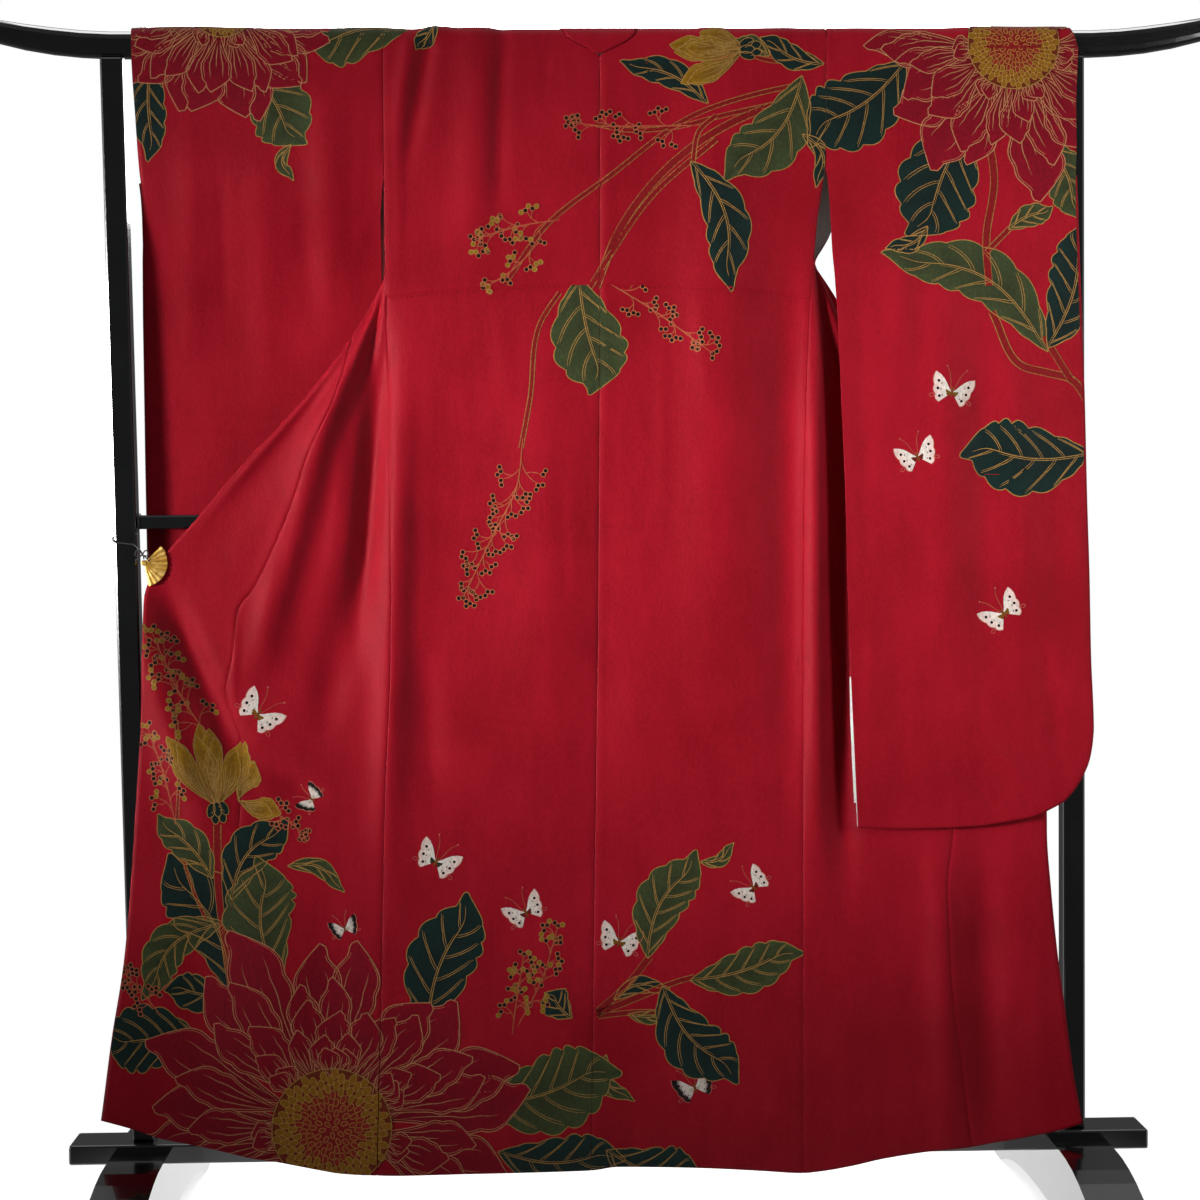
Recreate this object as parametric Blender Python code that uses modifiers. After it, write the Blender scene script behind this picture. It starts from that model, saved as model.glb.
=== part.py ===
"""A furisode draped over a low lacquered kimono rack and shown from its back.

The cloth pieces are the ones that a maker cuts: two body panels, each back and front in
one length, two front gores, a collar and two long sleeves. Each is a wall with its own
thickness. Both fronts are drawn out sideways at the foot, so that the hem is one spread,
and a fan clip on each post holds the front edge. All sizes are in metres. X runs along
the rack, Y runs away from the viewer of the back, and Z is up.
"""

import math

import bmesh
import bpy
import numpy as np
from mathutils import Matrix

# Driving sizes of the cloth.
WALL = 0.0014
COLLAR_WALL = 0.0018
SEAM_GAP = 0.0003
COLLAR_WIDTH = 0.055
COLLAR_SLANT = math.radians(53)
COLLAR_SETBACK = 0.003
COLLAR_LIFT = 0.0012
SIDE_SEAM_TOP = 1.388
SLEEVE_SEAM_END = 1.530
WRIST_END = 1.510
GORE_POINT = 1.292
HEM_LEVEL = 0.085
HEM_BLEND_TOP = 0.75
NEAR_TOP = -0.0205
NEAR_HEM = -0.0420
FAR_TOP = 0.0205

# Driving sizes of the rack.
RAIL_HALF_LENGTH = 0.89
RAIL_MIDDLE = 1.7047
RAIL_HALF_HEIGHT = 0.0185
RAIL_HALF_DEPTH = 0.015
RAIL_SIDES = 16
POST_X = 0.6727
POST_HALF = 0.016
POST_LEAN = {"left": 0.0243, "right": 0.0}
MID_RAIL_Z = 1.028
MID_RAIL_HALF = 0.010
BASE_TOP = 0.140
BASE_THICK = 0.028
BASE_HALF_LENGTH = 0.775
BASE_HALF_DEPTH = 0.0365
FOOT_HALF_WIDTH = 0.040
FOOT_REACH = 0.360
FOOT_PAD = 0.050
FOOT_TOP = 0.127
FOOT_FLAT = 0.090
FOOT_FALL = 0.84
FOOT_ARCH = 0.034
EDGE = 0.003
EASE = 0.0003
RAIL_EASE = 0.0008

# The arch that the cloth makes over the rail.
ARCH_HALF = 0.0205
ARCH_RISE = 0.0302
ARCH_SPRING = RAIL_MIDDLE + RAIL_HALF_HEIGHT + RAIL_EASE + WALL / 2 - ARCH_RISE

SIGN = {"left": -1.0, "right": 1.0}


def table(columns, *rows):
    """A short table with named columns, put in order of its first one."""
    return dict(zip(columns.split(), np.array(sorted(rows), float).T))


def read(rows, column, at):
    """A column read at places of the first column, on a smooth curve with no overshoot."""
    keys, values = next(iter(rows.values())), rows[column]
    slope = np.diff(values) / np.diff(keys)
    before = np.concatenate([slope[:1], slope])
    after = np.concatenate([slope, slope[-1:]])
    product = before * after
    total = np.where(np.abs(before + after) < 1e-12, 1.0, before + after)
    tangent = np.where(product > 0, 2 * product / total, 0.0)
    at = np.clip(np.asarray(at, float), keys[0], keys[-1])
    i = np.clip(np.searchsorted(keys, at) - 1, 0, len(keys) - 2)
    step = keys[i + 1] - keys[i]
    t = (at - keys[i]) / step
    return (
        (2 * t**3 - 3 * t**2 + 1) * values[i]
        + (t**3 - 2 * t**2 + t) * step * tangent[i]
        + (3 * t**2 - 2 * t**3) * values[i + 1]
        + (t**3 - t**2) * step * tangent[i + 1]
    )


# Seams and edges of the cloth: a row is one height.
CENTRE_SEAM = table(
    "z x", (1.72, -0.005), (1.35, -0.008), (0.91, -0.014), (0.48, -0.023), (HEM_LEVEL, -0.031)
)
SIDE_SEAM = {
    "left": table(
        "z x", (1.72, -0.3125), (1.48, -0.3130), (SIDE_SEAM_TOP, -0.3125), (1.20, -0.3101),
        (0.91, -0.3073), (0.77, -0.3114), (0.63, -0.3199), (0.49, -0.3242), (0.28, -0.3304),
        (HEM_LEVEL, -0.3365),
    ),
    "right": table(
        "z x", (1.72, 0.3180), (1.53, 0.3150), (1.48, 0.3060), (SIDE_SEAM_TOP, 0.2970),
        (1.35, 0.2930), (1.20, 0.2850), (1.05, 0.2815), (0.77, 0.2785), (HEM_LEVEL, 0.2740),
    ),
}
# The front's side edge, from the rail down to the top of the side seam: how far it stands
# out from the back's edge, and its share of the way from the near cloth to the far one.
FRONT_SIDE = {
    "left": table(
        "z out far", (1.72, 0.000, 1.0), (1.53, 0.000, 1.0), (1.49, 0.000, 0.88),
        (1.46, 0.000, 0.66), (1.43, 0.000, 0.42), (1.41, 0.000, 0.22), (SIDE_SEAM_TOP, 0, 0),
        (1.30, 0, 0),
    ),
    "right": table(
        "z out far", (1.72, 0.000, 1.0), (1.60, 0.017, 1.0), (1.53, 0.030, 1.0),
        (1.48, 0.034, 0.85), (1.43, 0.021, 0.42), (1.41, 0.011, 0.22), (SIDE_SEAM_TOP, 0, 0),
        (1.30, 0, 0),
    ),
}
# The front edge: from the rail it slants outwards behind the back, passes the side seam,
# comes forward to the clip, and falls from there to the hem.
FRONT_EDGE = {
    "left": table(
        "z x y", (1.72, -0.083, 0.0205), (1.694, -0.088, 0.0205), (1.388, -0.305, 0.0020),
        (1.292, -0.360, -0.0080), (1.199, -0.4335, -0.0160), (1.102, -0.5246, -0.0235),
        (1.032, -0.5833, -0.0275), (0.987, -0.6233, -0.0295), (0.964, -0.6419, -0.0303),
        (0.918, -0.6575, -0.0309), (0.861, -0.6586, -0.0317), (0.747, -0.6641, -0.0332),
        (0.631, -0.6725, -0.0347), (0.510, -0.6809, -0.0363), (0.381, -0.6922, -0.0381),
        (0.241, -0.7112, -0.0400), (HEM_LEVEL, -0.7274, NEAR_HEM),
    ),
    "right": table(
        "z x y", (1.72, 0.078, 0.0205), (1.694, 0.083, 0.0205), (1.388, 0.302, 0.0020),
        (1.292, 0.366, -0.0080), (1.199, 0.436, -0.0160), (1.102, 0.508, -0.0235),
        (1.010, 0.577, -0.0285), (0.960, 0.613, -0.0304), (0.935, 0.630, -0.0307),
        (0.890, 0.634, -0.0313), (0.750, 0.629, -0.0331), (0.572, 0.6284, -0.0355),
        (0.481, 0.6338, -0.0367), (0.386, 0.6421, -0.0380), (0.288, 0.6533, -0.0393),
        (0.184, 0.6645, -0.0406), (HEM_LEVEL, 0.6780, NEAR_HEM),
    ),
}
GORE_SEAM = {
    "left": table(
        "z x", (GORE_POINT, -0.3587), (1.199, -0.3866), (1.127, -0.4212), (1.055, -0.4460),
        (0.935, -0.5015), (0.900, -0.5262), (0.840, -0.5332), (0.780, -0.5459), (0.750, -0.5365),
        (0.719, -0.5246), (0.656, -0.5239), (0.468, -0.5400), (0.323, -0.5514), (0.201, -0.5625),
        (HEM_LEVEL, -0.5710),
    ),
    "right": table(
        "z x", (GORE_POINT, 0.366), (1.199, 0.388), (1.127, 0.412), (1.000, 0.447), (0.850, 0.478),
        (0.720, 0.492), (0.578, 0.4927), (0.488, 0.4832), (0.352, 0.4880), (0.192, 0.5052),
        (HEM_LEVEL, 0.5182),
    ),
}
# Height of the hem along the spread.
HEM = table(
    "x z", (-0.730, 0.1785), (-0.684, 0.165), (-0.641, 0.150), (-0.599, 0.141), (-0.557, 0.131),
    (-0.514, 0.1200), (-0.472, 0.1130), (-0.429, 0.104), (-0.386, 0.096), (-0.344, 0.0930),
    (-0.301, 0.0916), (-0.216, 0.0925), (-0.130, 0.0932), (-0.031, 0.0950), (0.007, 0.0995),
    (0.060, 0.0985), (0.128, 0.0960), (0.172, 0.0935), (0.215, 0.0905), (0.274, 0.0865),
    (0.301, 0.0888), (0.344, 0.0957), (0.388, 0.1051), (0.431, 0.1117), (0.474, 0.1168),
    (0.518, 0.1204), (0.561, 0.1270), (0.605, 0.135), (0.648, 0.1435), (0.680, 0.1530),
)
# Half width of the neck opening along the arch: arc is counted from the ridge of the rail,
# and runs below zero on the near side.
NECK = table(
    "arc half", (-0.0530, 0.0000), (-0.0440, 0.0180), (-0.0330, 0.0400), (-0.0240, 0.0500),
    (-0.0100, 0.0550), (0.0080, 0.0600), (0.0280, 0.0700), (0.0450, 0.0830),
)
# Depth of the two gathers in each front, which crowd together where it turns.
GATHER = table(
    "z depth", (1.70, 0.0000), (1.62, 0.0030), (1.52, 0.0060), (1.45, 0.0050), (1.41, 0.0020),
    (1.38, 0.0014), (1.34, 0.0030), (1.26, 0.0045), (1.15, 0.0040), (1.00, 0.0025),
    (0.85, 0.0008), (0.75, 0.0000),
)
GATHERS = 2
# Broad soft folds of the spread cloth. A row is a ridge between two points, with its half
# width and its height towards the viewer; a trough has a height below zero.
FOLDS = (
    {"top": (-0.590, 0.930), "foot": (-0.540, 0.700), "half": 0.040, "high": 0.0045},
    {"top": (-0.640, 0.920), "foot": (-0.585, 0.760), "half": 0.022, "high": -0.0030},
    {"top": (-0.400, 1.150), "foot": (-0.430, 0.600), "half": 0.060, "high": 0.0035},
    {"top": (-0.470, 0.620), "foot": (-0.480, 0.200), "half": 0.050, "high": 0.0030},
    {"top": (-0.640, 0.650), "foot": (-0.660, 0.180), "half": 0.045, "high": 0.0030},
    {"top": (-0.200, 0.800), "foot": (-0.190, 0.100), "half": 0.060, "high": 0.0028},
    {"top": (-0.060, 0.600), "foot": (-0.080, 0.100), "half": 0.050, "high": 0.0020},
    {"top": (0.130, 0.900), "foot": (0.150, 0.100), "half": 0.070, "high": 0.0030},
    {"top": (0.262, 1.370), "foot": (0.250, 1.050), "half": 0.040, "high": 0.0035},
    {"top": (0.420, 0.560), "foot": (0.430, 0.130), "half": 0.045, "high": 0.0032},
    {"top": (0.570, 0.540), "foot": (0.590, 0.140), "half": 0.045, "high": 0.0028},
)

# Sleeves. Near and far are the two layers, inner is the edge by the body and outer the
# edge by the wrist.
SLEEVE = {
    "left": table(
        "z near_in near_out far_in far_out near_in_y near_out_y far_in_y far_out_y",
        (1.720, -0.3125, -0.667, -0.3125, -0.667, -0.0205, -0.0205, 0.0205, 0.0205),
        (1.694, -0.3128, -0.667, -0.3128, -0.667, -0.0205, -0.0205, 0.0205, 0.0205),
        (1.600, -0.3130, -0.664, -0.3130, -0.664, -0.0218, -0.0120, 0.0215, 0.0215),
        (1.530, -0.3130, -0.661, -0.3130, -0.661, -0.0226, -0.0050, 0.0220, 0.0222),
        (1.490, -0.3160, -0.657, -0.3160, -0.657, -0.0170, 0.0000, 0.0225, 0.0226),
        (1.460, -0.3190, -0.656, -0.3190, -0.656, -0.0070, 0.0035, 0.0230, 0.0232),
        (1.430, -0.3195, -0.656, -0.3195, -0.656, 0.0045, 0.0070, 0.0236, 0.0240),
        (1.400, -0.3195, -0.657, -0.3195, -0.657, 0.0120, 0.0095, 0.0245, 0.0250),
        (1.300, -0.3210, -0.658, -0.3210, -0.658, 0.0140, 0.0125, 0.0260, 0.0262),
        (1.150, -0.3230, -0.658, -0.3230, -0.658, 0.0145, 0.0145, 0.0270, 0.0272),
        (0.950, -0.3260, -0.657, -0.3260, -0.657, 0.0145, 0.0150, 0.0270, 0.0275),
        (0.700, -0.3300, -0.655, -0.3300, -0.655, 0.0140, 0.0150, 0.0265, 0.0270),
        (0.589, -0.3320, -0.654, -0.3320, -0.654, 0.0140, 0.0150, 0.0260, 0.0265),
    ),
    "right": table(
        "z near_in near_out far_in far_out near_in_y near_out_y far_in_y far_out_y",
        (1.720, 0.3180, 0.679, 0.3180, 0.660, -0.0205, -0.0205, 0.0205, 0.0205),
        (1.694, 0.3176, 0.678, 0.3176, 0.648, -0.0205, -0.0210, 0.0205, 0.0205),
        (1.600, 0.3161, 0.672, 0.3330, 0.646, -0.0218, -0.0330, 0.0215, -0.0060),
        (1.545, 0.3152, 0.671, 0.3440, 0.647, -0.0225, -0.0400, 0.0220, -0.0240),
        (1.530, 0.3150, 0.670, 0.3450, 0.652, -0.0227, -0.0415, 0.0210, -0.0275),
        (1.500, 0.3185, 0.669, 0.3500, 0.665, -0.0270, -0.0430, 0.0130, -0.0310),
        (1.450, 0.3205, 0.669, 0.3540, 0.669, -0.0350, -0.0450, -0.0060, -0.0340),
        (1.410, 0.3215, 0.670, 0.3560, 0.670, -0.0410, -0.0465, -0.0220, -0.0355),
        (1.370, 0.3245, 0.671, 0.3565, 0.671, -0.0450, -0.0480, -0.0330, -0.0370),
        (1.300, 0.3285, 0.673, 0.3560, 0.673, -0.0490, -0.0500, -0.0380, -0.0395),
        (1.200, 0.3320, 0.676, 0.3550, 0.676, -0.0520, -0.0520, -0.0410, -0.0420),
        (1.050, 0.3375, 0.679, 0.3510, 0.679, -0.0540, -0.0540, -0.0440, -0.0440),
        (0.940, 0.3396, 0.682, 0.3480, 0.682, -0.0550, -0.0550, -0.0455, -0.0455),
        (0.830, 0.3430, 0.684, 0.3450, 0.684, -0.0550, -0.0550, -0.0460, -0.0460),
        (0.720, 0.3475, 0.688, 0.3475, 0.688, -0.0550, -0.0550, -0.0460, -0.0460),
        (0.589, 0.3530, 0.688, 0.3530, 0.688, -0.0550, -0.0550, -0.0460, -0.0460),
    ),
}
SLEEVE_BOTTOM = 0.589
SLEEVE_SAG = 0.0025
SLEEVE_SWELL = 0.004
# The round outer corner: how far the edge is drawn in at a height over the bottom.
SLEEVE_CORNER = table(
    "up inward", (0.000, 0.160), (0.005, 0.125), (0.012, 0.085), (0.022, 0.0615), (0.035, 0.0393),
    (0.062, 0.0185), (0.090, 0.006), (0.115, 0.0015), (0.135, 0.000), (1.200, 0.000),
)
LINING_TOP = 0.800
LINING_SHOWS = 0.003
LINING_DEEP = 0.060

# Clips. The knob stands by the edge of the cloth, and the fan opens over the cloth.
CLIP = {
    "left": {"x": -0.657, "z": 0.970, "cloth": -0.0303},
    "right": {"x": 0.645, "z": 0.941, "cloth": -0.0307},
}
KNOB_RADIUS = 0.004
FAN_RADIUS = 0.033
FAN_PLATE = 0.0012
FAN_PLEAT = 0.0010
FAN_PLEATS = 9
FAN_TOP_ANGLE = math.radians(44)
FAN_LOW_ANGLE = math.radians(-79)
CORD_RADIUS = 0.0009
CORD_OFF = CORD_RADIUS + 3 * EASE
CORD_CLIMB = 0.003
# The cord's way from the knob towards the post: outwards along X, back from the fan's face,
# and up from where it starts.
CORD_LEAD = ((0.0000, 0.0008, 0.000), (0.0012, 0.0010, 0.006), (0.0050, 0.0040, 0.012))
FAN_OFF = 0.0005

# Rows and columns of the grids.
SHOULDER_LEVELS = (1.66, 1.61, 1.57, SLEEVE_SEAM_END)
TURN_LEVELS = (
    1.50, 1.475, 1.450, 1.430, 1.414, 1.401, 1.390, 1.379, 1.367, 1.350, 1.325, GORE_POINT,
)
GORE_LEVELS = (
    1.287, 1.24, 1.17, 1.09, 1.03, 0.98, 0.935, 0.90, 0.84, 0.78, 0.72, 0.64, 0.54, 0.41, 0.28,
    0.17, HEM_LEVEL,
)
FRONT_LEVELS = SHOULDER_LEVELS + TURN_LEVELS + GORE_LEVELS
BACK_LEVELS = (
    HEM_LEVEL, 0.16, 0.26, 0.38, 0.50, 0.64, 0.78, 0.92, 1.06, 1.20, 1.33, 1.45,
) + SHOULDER_LEVELS[::-1]
SLEEVE_LEVELS = SHOULDER_LEVELS + (
    WRIST_END, 1.47, 1.44, 1.41, 1.38, 1.33, 1.24, 1.10, 0.94, 0.80, 0.72, 0.679, 0.651, 0.624,
    0.611, 0.601, 0.594, SLEEVE_BOTTOM,
)
COLLAR_LEVELS = SHOULDER_LEVELS + (1.48, 1.42, 1.35, 1.25, 1.12)
BODY_COLUMNS = 9
GORE_COLUMNS = 5
SLEEVE_COLUMNS = 7
COLLAR_COLUMNS = 8
ARCH_STEPS = 8
NECK_DROP = 0.0070
BEND_STEPS = 4
WELD = 1e-6


def blend(low, high, at):
    """0 below low, 1 above high, and an even curve between."""
    t = np.clip((np.asarray(at, float) - low) / (high - low), 0.0, 1.0)
    return t * t * (3 - 2 * t)


def arch_profile():
    """Points of the arch over the rail and their arc from the ridge: a squared ellipse."""
    turn = np.linspace(0.0, math.pi, 181)
    y = -ARCH_HALF * np.sign(np.cos(turn)) * np.abs(np.cos(turn)) ** 0.5
    z = ARCH_SPRING + ARCH_RISE * np.sin(turn) ** 0.5
    arc = np.concatenate([[0.0], np.cumsum(np.hypot(np.diff(y), np.diff(z)))])
    return arc - arc[-1] / 2, y, z


ARC, ARC_Y, ARC_Z = arch_profile()
ARC_END = ARC[-1]
ARCH_ROWS = np.linspace(-ARC_END, ARC_END, ARCH_STEPS + 1)
NECK_ROWS = np.concatenate([[-ARC_END - NECK_DROP], ARCH_ROWS])


def over_rail(x, arc, lift=0.0):
    """Points on the arch, or a little over it; past its feet they run straight down."""
    x, arc = np.broadcast_arrays(np.asarray(x, float), np.asarray(arc, float))
    held = np.clip(arc, -ARC_END, ARC_END)
    fall = np.abs(arc) - np.abs(held)
    y = np.interp(held, ARC, ARC_Y) * (1 + lift / ARCH_HALF)
    z = ARCH_SPRING + (np.interp(held, ARC, ARC_Z) - ARCH_SPRING) * (1 + lift / ARCH_RISE)
    return np.stack([x, y, z - fall], -1)


def seam_x(side, level):
    """The side seam, straight between the back's rows, so that what meets it fits it."""
    rows = np.array(sorted(BACK_LEVELS + (ARCH_SPRING,)))
    return np.interp(level, rows, read(SIDE_SEAM[side], "x", rows))


def level_z(x, level):
    """The height of a row at x: level near the top, and following the hem near the foot."""
    share = 1.0 - np.clip((level - HEM_LEVEL) / (HEM_BLEND_TOP - HEM_LEVEL), 0.0, 1.0)
    return level + (read(HEM, "z", x) - HEM_LEVEL) * share**2


def fold_height(x, z):
    """Height of the broad folds towards the viewer: each is a bell across its own line."""
    high = np.zeros(np.broadcast(x, z).shape)
    for fold in FOLDS:
        top, foot = np.array(fold["top"]), np.array(fold["foot"])
        along = foot - top
        t = ((x - top[0]) * along[0] + (z - top[1]) * along[1]) / (along @ along)
        away = np.hypot(
            x - top[0] - np.clip(t, 0, 1) * along[0], z - top[1] - np.clip(t, 0, 1) * along[1]
        )
        end = blend(-0.1, 0.35, t) * (1 - 0.5 * blend(0.8, 1.2, t))
        high = high + fold["high"] * end * np.exp(-((away / fold["half"]) ** 2))
    return high


def near_plane(z):
    """Depth of the near cloth with no folds: it leans forward a little, to clear the base."""
    share = (ARCH_SPRING - z) / (ARCH_SPRING - HEM_LEVEL)
    return NEAR_TOP + (NEAR_HEM - NEAR_TOP) * share


def side_point(side, level):
    """The front's side edge in space at each level."""
    sign = SIGN[side]
    out, far = read(FRONT_SIDE[side], "out", level), read(FRONT_SIDE[side], "far", level)
    x = seam_x(side, level) + sign * out
    z = level_z(x, level)
    y = near_plane(z) - fold_height(x, z) * (1 - far)
    return np.stack([x, y + (FAR_TOP - y) * far, z], -1)


def edge_point(side, level):
    """The front's free edge in space at each level."""
    x = read(FRONT_EDGE[side], "x", level)
    return np.stack([x, read(FRONT_EDGE[side], "y", level), level_z(x, level)], -1)


def front_surface(side, level, share):
    """Points of a drawn-out front. Each level is one row from the side edge, share 0, to the
    free edge, share 1. The row turns half round as it passes the side seam, and its gathers
    and folds stand square to it, on the cloth's outer face."""
    level, share = np.broadcast_arrays(np.asarray(level, float), np.asarray(share, float))
    start, end = side_point(side, level), edge_point(side, level)
    row = end - start
    flat = np.hypot(row[..., 0], row[..., 1])
    outer = np.stack([-SIGN[side] * -row[..., 1], -SIGN[side] * row[..., 0]], -1) / flat[..., None]
    # The seam's two edges meet square where the row points away from the viewer, so the
    # front stands off by its own wall there.
    square = np.abs(row[..., 1]) / flat
    start = start.copy()
    start[..., 0] += SIGN[side] * (1.5 * SEAM_GAP + 0.6 * WALL * square)
    points = start + (end - start) * share[..., None]
    points[..., 2] = level_z(points[..., 0], level)
    wave = read(GATHER, "depth", level) * np.sin(math.pi * share) * np.sin(
        2 * math.pi * GATHERS * share
    )
    spread = blend(1.40, 1.30, level)
    bell = fold_height(points[..., 0], points[..., 2])
    start_bell = fold_height(start[..., 0], start[..., 2])
    wave = wave + spread * (bell - start_bell * (1 - share))
    points[..., 0] += outer[..., 0] * wave
    points[..., 1] += outer[..., 1] * wave
    return points


def gore_share(side, level):
    """Where the gore's seam lies on a row; above the gore the panel takes the whole row."""
    start = seam_x(side, level)
    end = read(FRONT_EDGE[side], "x", level)
    seam = read(GORE_SEAM[side], "x", level)
    return np.where(level >= GORE_POINT, 1.0, (seam - start) / (end - start))


def back_rows(side):
    """The back, from the hem up to the foot of the arch: centre seam to side seam."""
    levels = np.array(BACK_LEVELS)[:, None]
    across = np.linspace(0.0, 1.0, BODY_COLUMNS)[None, :]
    inner = read(CENTRE_SEAM, "x", levels) + SIGN[side] * SEAM_GAP / 2
    outer = seam_x(side, levels)
    x = inner + (outer - inner) * across
    z = level_z(x, levels)
    return np.stack([x, near_plane(z) - fold_height(x, z), z], -1)


def arch_rows(side):
    """The shoulder, over the rail: the neck opening to the sleeve's seam."""
    arcs = NECK_ROWS[:, None]
    across = np.linspace(0.0, 1.0, BODY_COLUMNS)[None, :]
    inner = read(CENTRE_SEAM, "x", 1.70) + SIGN[side] * (SEAM_GAP / 2 + read(NECK, "half", arcs))
    outer = seam_x(side, ARCH_SPRING)
    return over_rail(inner + (outer - inner) * across, arcs)


def front_rows(side):
    """The front, from the far side of the rail down to the hem: free edge to side edge."""
    levels = np.array(FRONT_LEVELS)[:, None]
    to_seam = gore_share(side, levels)
    across = np.linspace(1.0, 0.0, BODY_COLUMNS)[None, :]
    return front_surface(side, levels, to_seam * across)


def body_grid(side):
    return np.concatenate([back_rows(side), arch_rows(side), front_rows(side)])


def gore_grid(side):
    """The front gore: from the panel's seam to the free edge."""
    levels = np.array(GORE_LEVELS)[:, None]
    seam = gore_share(side, levels)
    width = np.abs(read(FRONT_EDGE[side], "x", levels) - seam_x(side, levels))
    seam = seam + SEAM_GAP / width
    return front_surface(side, levels, seam + (1 - seam) * np.linspace(0, 1, GORE_COLUMNS)[None, :])


def collar_half(side):
    """One half of the collar, centre back to clip. At the neck both edges lie on the arch;
    lower down the band is straight, behind the front's edge and towards the middle."""
    sign = SIGN[side]
    centre = read(CENTRE_SEAM, "x", 1.70)
    half = read(NECK, "half", NECK_ROWS)
    lean = COLLAR_SLANT * blend(0.0, half.max(), half)
    edge_x, edge_arc = half - 3 * SEAM_GAP, NECK_ROWS.copy()
    edge_x[0], edge_arc[0] = 0.0, NECK_ROWS[0] + 1.5 * SEAM_GAP
    inner_x, inner_arc = edge_x - COLLAR_WIDTH * np.sin(lean), edge_arc + COLLAR_WIDTH * np.cos(lean)
    across = np.linspace(0.0, 1.0, COLLAR_COLUMNS)[None, :]
    neck = over_rail(
        centre + sign * (edge_x[:, None] + (inner_x - edge_x)[:, None] * across),
        edge_arc[:, None] + (inner_arc - edge_arc)[:, None] * across,
        COLLAR_LIFT,
    )
    levels = np.array(COLLAR_LEVELS + (CLIP[side]["z"] + 3 * KNOB_RADIUS,))
    edge = edge_point(side, levels)
    down = np.array([-sign * math.sin(COLLAR_SLANT), 0.0, -math.cos(COLLAR_SLANT)])
    back = COLLAR_SETBACK * blend(1.66, 1.50, levels)
    edge[:, 1] += back
    edge[:, 0] -= sign * 3 * SEAM_GAP
    run = edge[:, None, :] + down * COLLAR_WIDTH * across[..., None]
    return np.concatenate([neck, run])


def collar_grid():
    left, right = collar_half("left"), collar_half("right")
    return np.concatenate([left[::-1], right[1:]])


def sleeve_layers(side):
    """The two layers as grids, from the foot of the arch to the bottom and from the edge by
    the body to the edge by the wrist, with the round corner drawn in."""
    rows, sign = SLEEVE[side], SIGN[side]
    levels = np.concatenate([[ARCH_SPRING], SLEEVE_LEVELS])[:, None]
    across = np.linspace(0.0, 1.0, SLEEVE_COLUMNS)[None, :]
    inward = sign * read(SLEEVE_CORNER, "inward", levels - SLEEVE_BOTTOM)
    layers = []
    for layer in ("near", "far"):
        inner = read(rows, layer + "_in", levels)
        held = np.maximum(levels, SLEEVE_SEAM_END)
        seam = seam_x(side, held) if layer == "near" else side_point(side, held)[..., 0]
        gap = sign * SEAM_GAP * (1.0 if layer == "near" else 2.5)
        inner = np.where(levels >= SLEEVE_SEAM_END, seam + gap, inner + sign * SEAM_GAP)
        outer = read(rows, layer + "_out", levels) - inward
        x = inner + (outer - inner) * across
        shape = across**1.5
        y_in, y_out = read(rows, layer + "_in_y", levels), read(rows, layer + "_out_y", levels)
        sag = SLEEVE_SAG * blend(0.74, SLEEVE_BOTTOM, levels) * np.sin(math.pi * across)
        layers.append(np.stack([x, y_in + (y_out - y_in) * shape, levels - sag], -1))
    return layers


def bend(near, far, outward):
    """A half round from each near point to its far point, swelling a little outwards."""
    middle, half = (near + far) / 2, (near - far) / 2
    swell = np.minimum(np.linalg.norm(half, axis=-1), SLEEVE_SWELL)[..., None] * outward
    turn = np.linspace(0.0, math.pi, BEND_STEPS + 1)[:, None, None]
    return middle + half * np.cos(turn) + swell * np.sin(turn)


def outward_of(line, turned):
    """Unit vectors square to a line in the X-Z plane."""
    run = np.gradient(line[:, [0, 2]], axis=0)
    run = run / np.linalg.norm(run, axis=1)[:, None]
    return np.stack([turned * run[:, 1], np.zeros(len(run)), -turned * run[:, 0]], -1)


def sleeve_patches(side):
    """The sleeve as one closed bag: near and far layers, the arch over the rail, and a round
    fold down the wrist edge and along the bottom. The wrist and the body edge stay open."""
    near, far = sleeve_layers(side)
    first = 1 + SLEEVE_LEVELS.index(WRIST_END)
    corner = len(near) - 1
    near_line = np.concatenate([near[first:, -1], near[corner, -2::-1]])
    far_line = np.concatenate([far[first:, -1], far[corner, -2::-1]])
    outward = outward_of((near_line + far_line) / 2, -SIGN[side])
    arcs = ARCH_ROWS[:, None]
    share = (arcs + ARC_END) / (2 * ARC_END)
    ridge = over_rail(near[0, :, 0] + (far[0, :, 0] - near[0, :, 0]) * share, arcs)
    near[0], far[0] = ridge[0], ridge[-1]
    return [near, far, ridge, bend(near_line, far_line, outward)]


def lining_grid():
    """The strip of lining that shows beside the open edge of the right sleeve: it is made
    from the far layer's points, moved off its inner face."""
    levels = np.array([LINING_TOP, 0.75, 0.70, 0.66, 0.62])[:, None]
    across = np.linspace(0.0, 1.0, 3)[None, :]
    rows = SLEEVE["right"]
    show = LINING_SHOWS * blend(LINING_TOP + 0.05, LINING_TOP - 0.08, levels)
    start = read(rows, "near_in", levels) + SEAM_GAP - show
    x = start + LINING_DEEP * across
    y = read(rows, "far_in_y", levels) - WALL - SEAM_GAP + 0.0 * across
    return np.stack([x, y, levels + 0.0 * across], -1)


def material(name, colour, roughness, metallic=0.0):
    made = bpy.data.materials.new(name)
    made.use_nodes = True
    shader = made.node_tree.nodes["Principled BSDF"]
    shader.inputs["Base Color"].default_value = (*colour, 1.0)
    shader.inputs["Roughness"].default_value = roughness
    shader.inputs["Metallic"].default_value = metallic
    return made


def link(name, mesh, finish, parts):
    mesh.materials.append(finish)
    made = bpy.data.objects.new(name, mesh)
    parts.objects.link(made)
    return made


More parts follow.
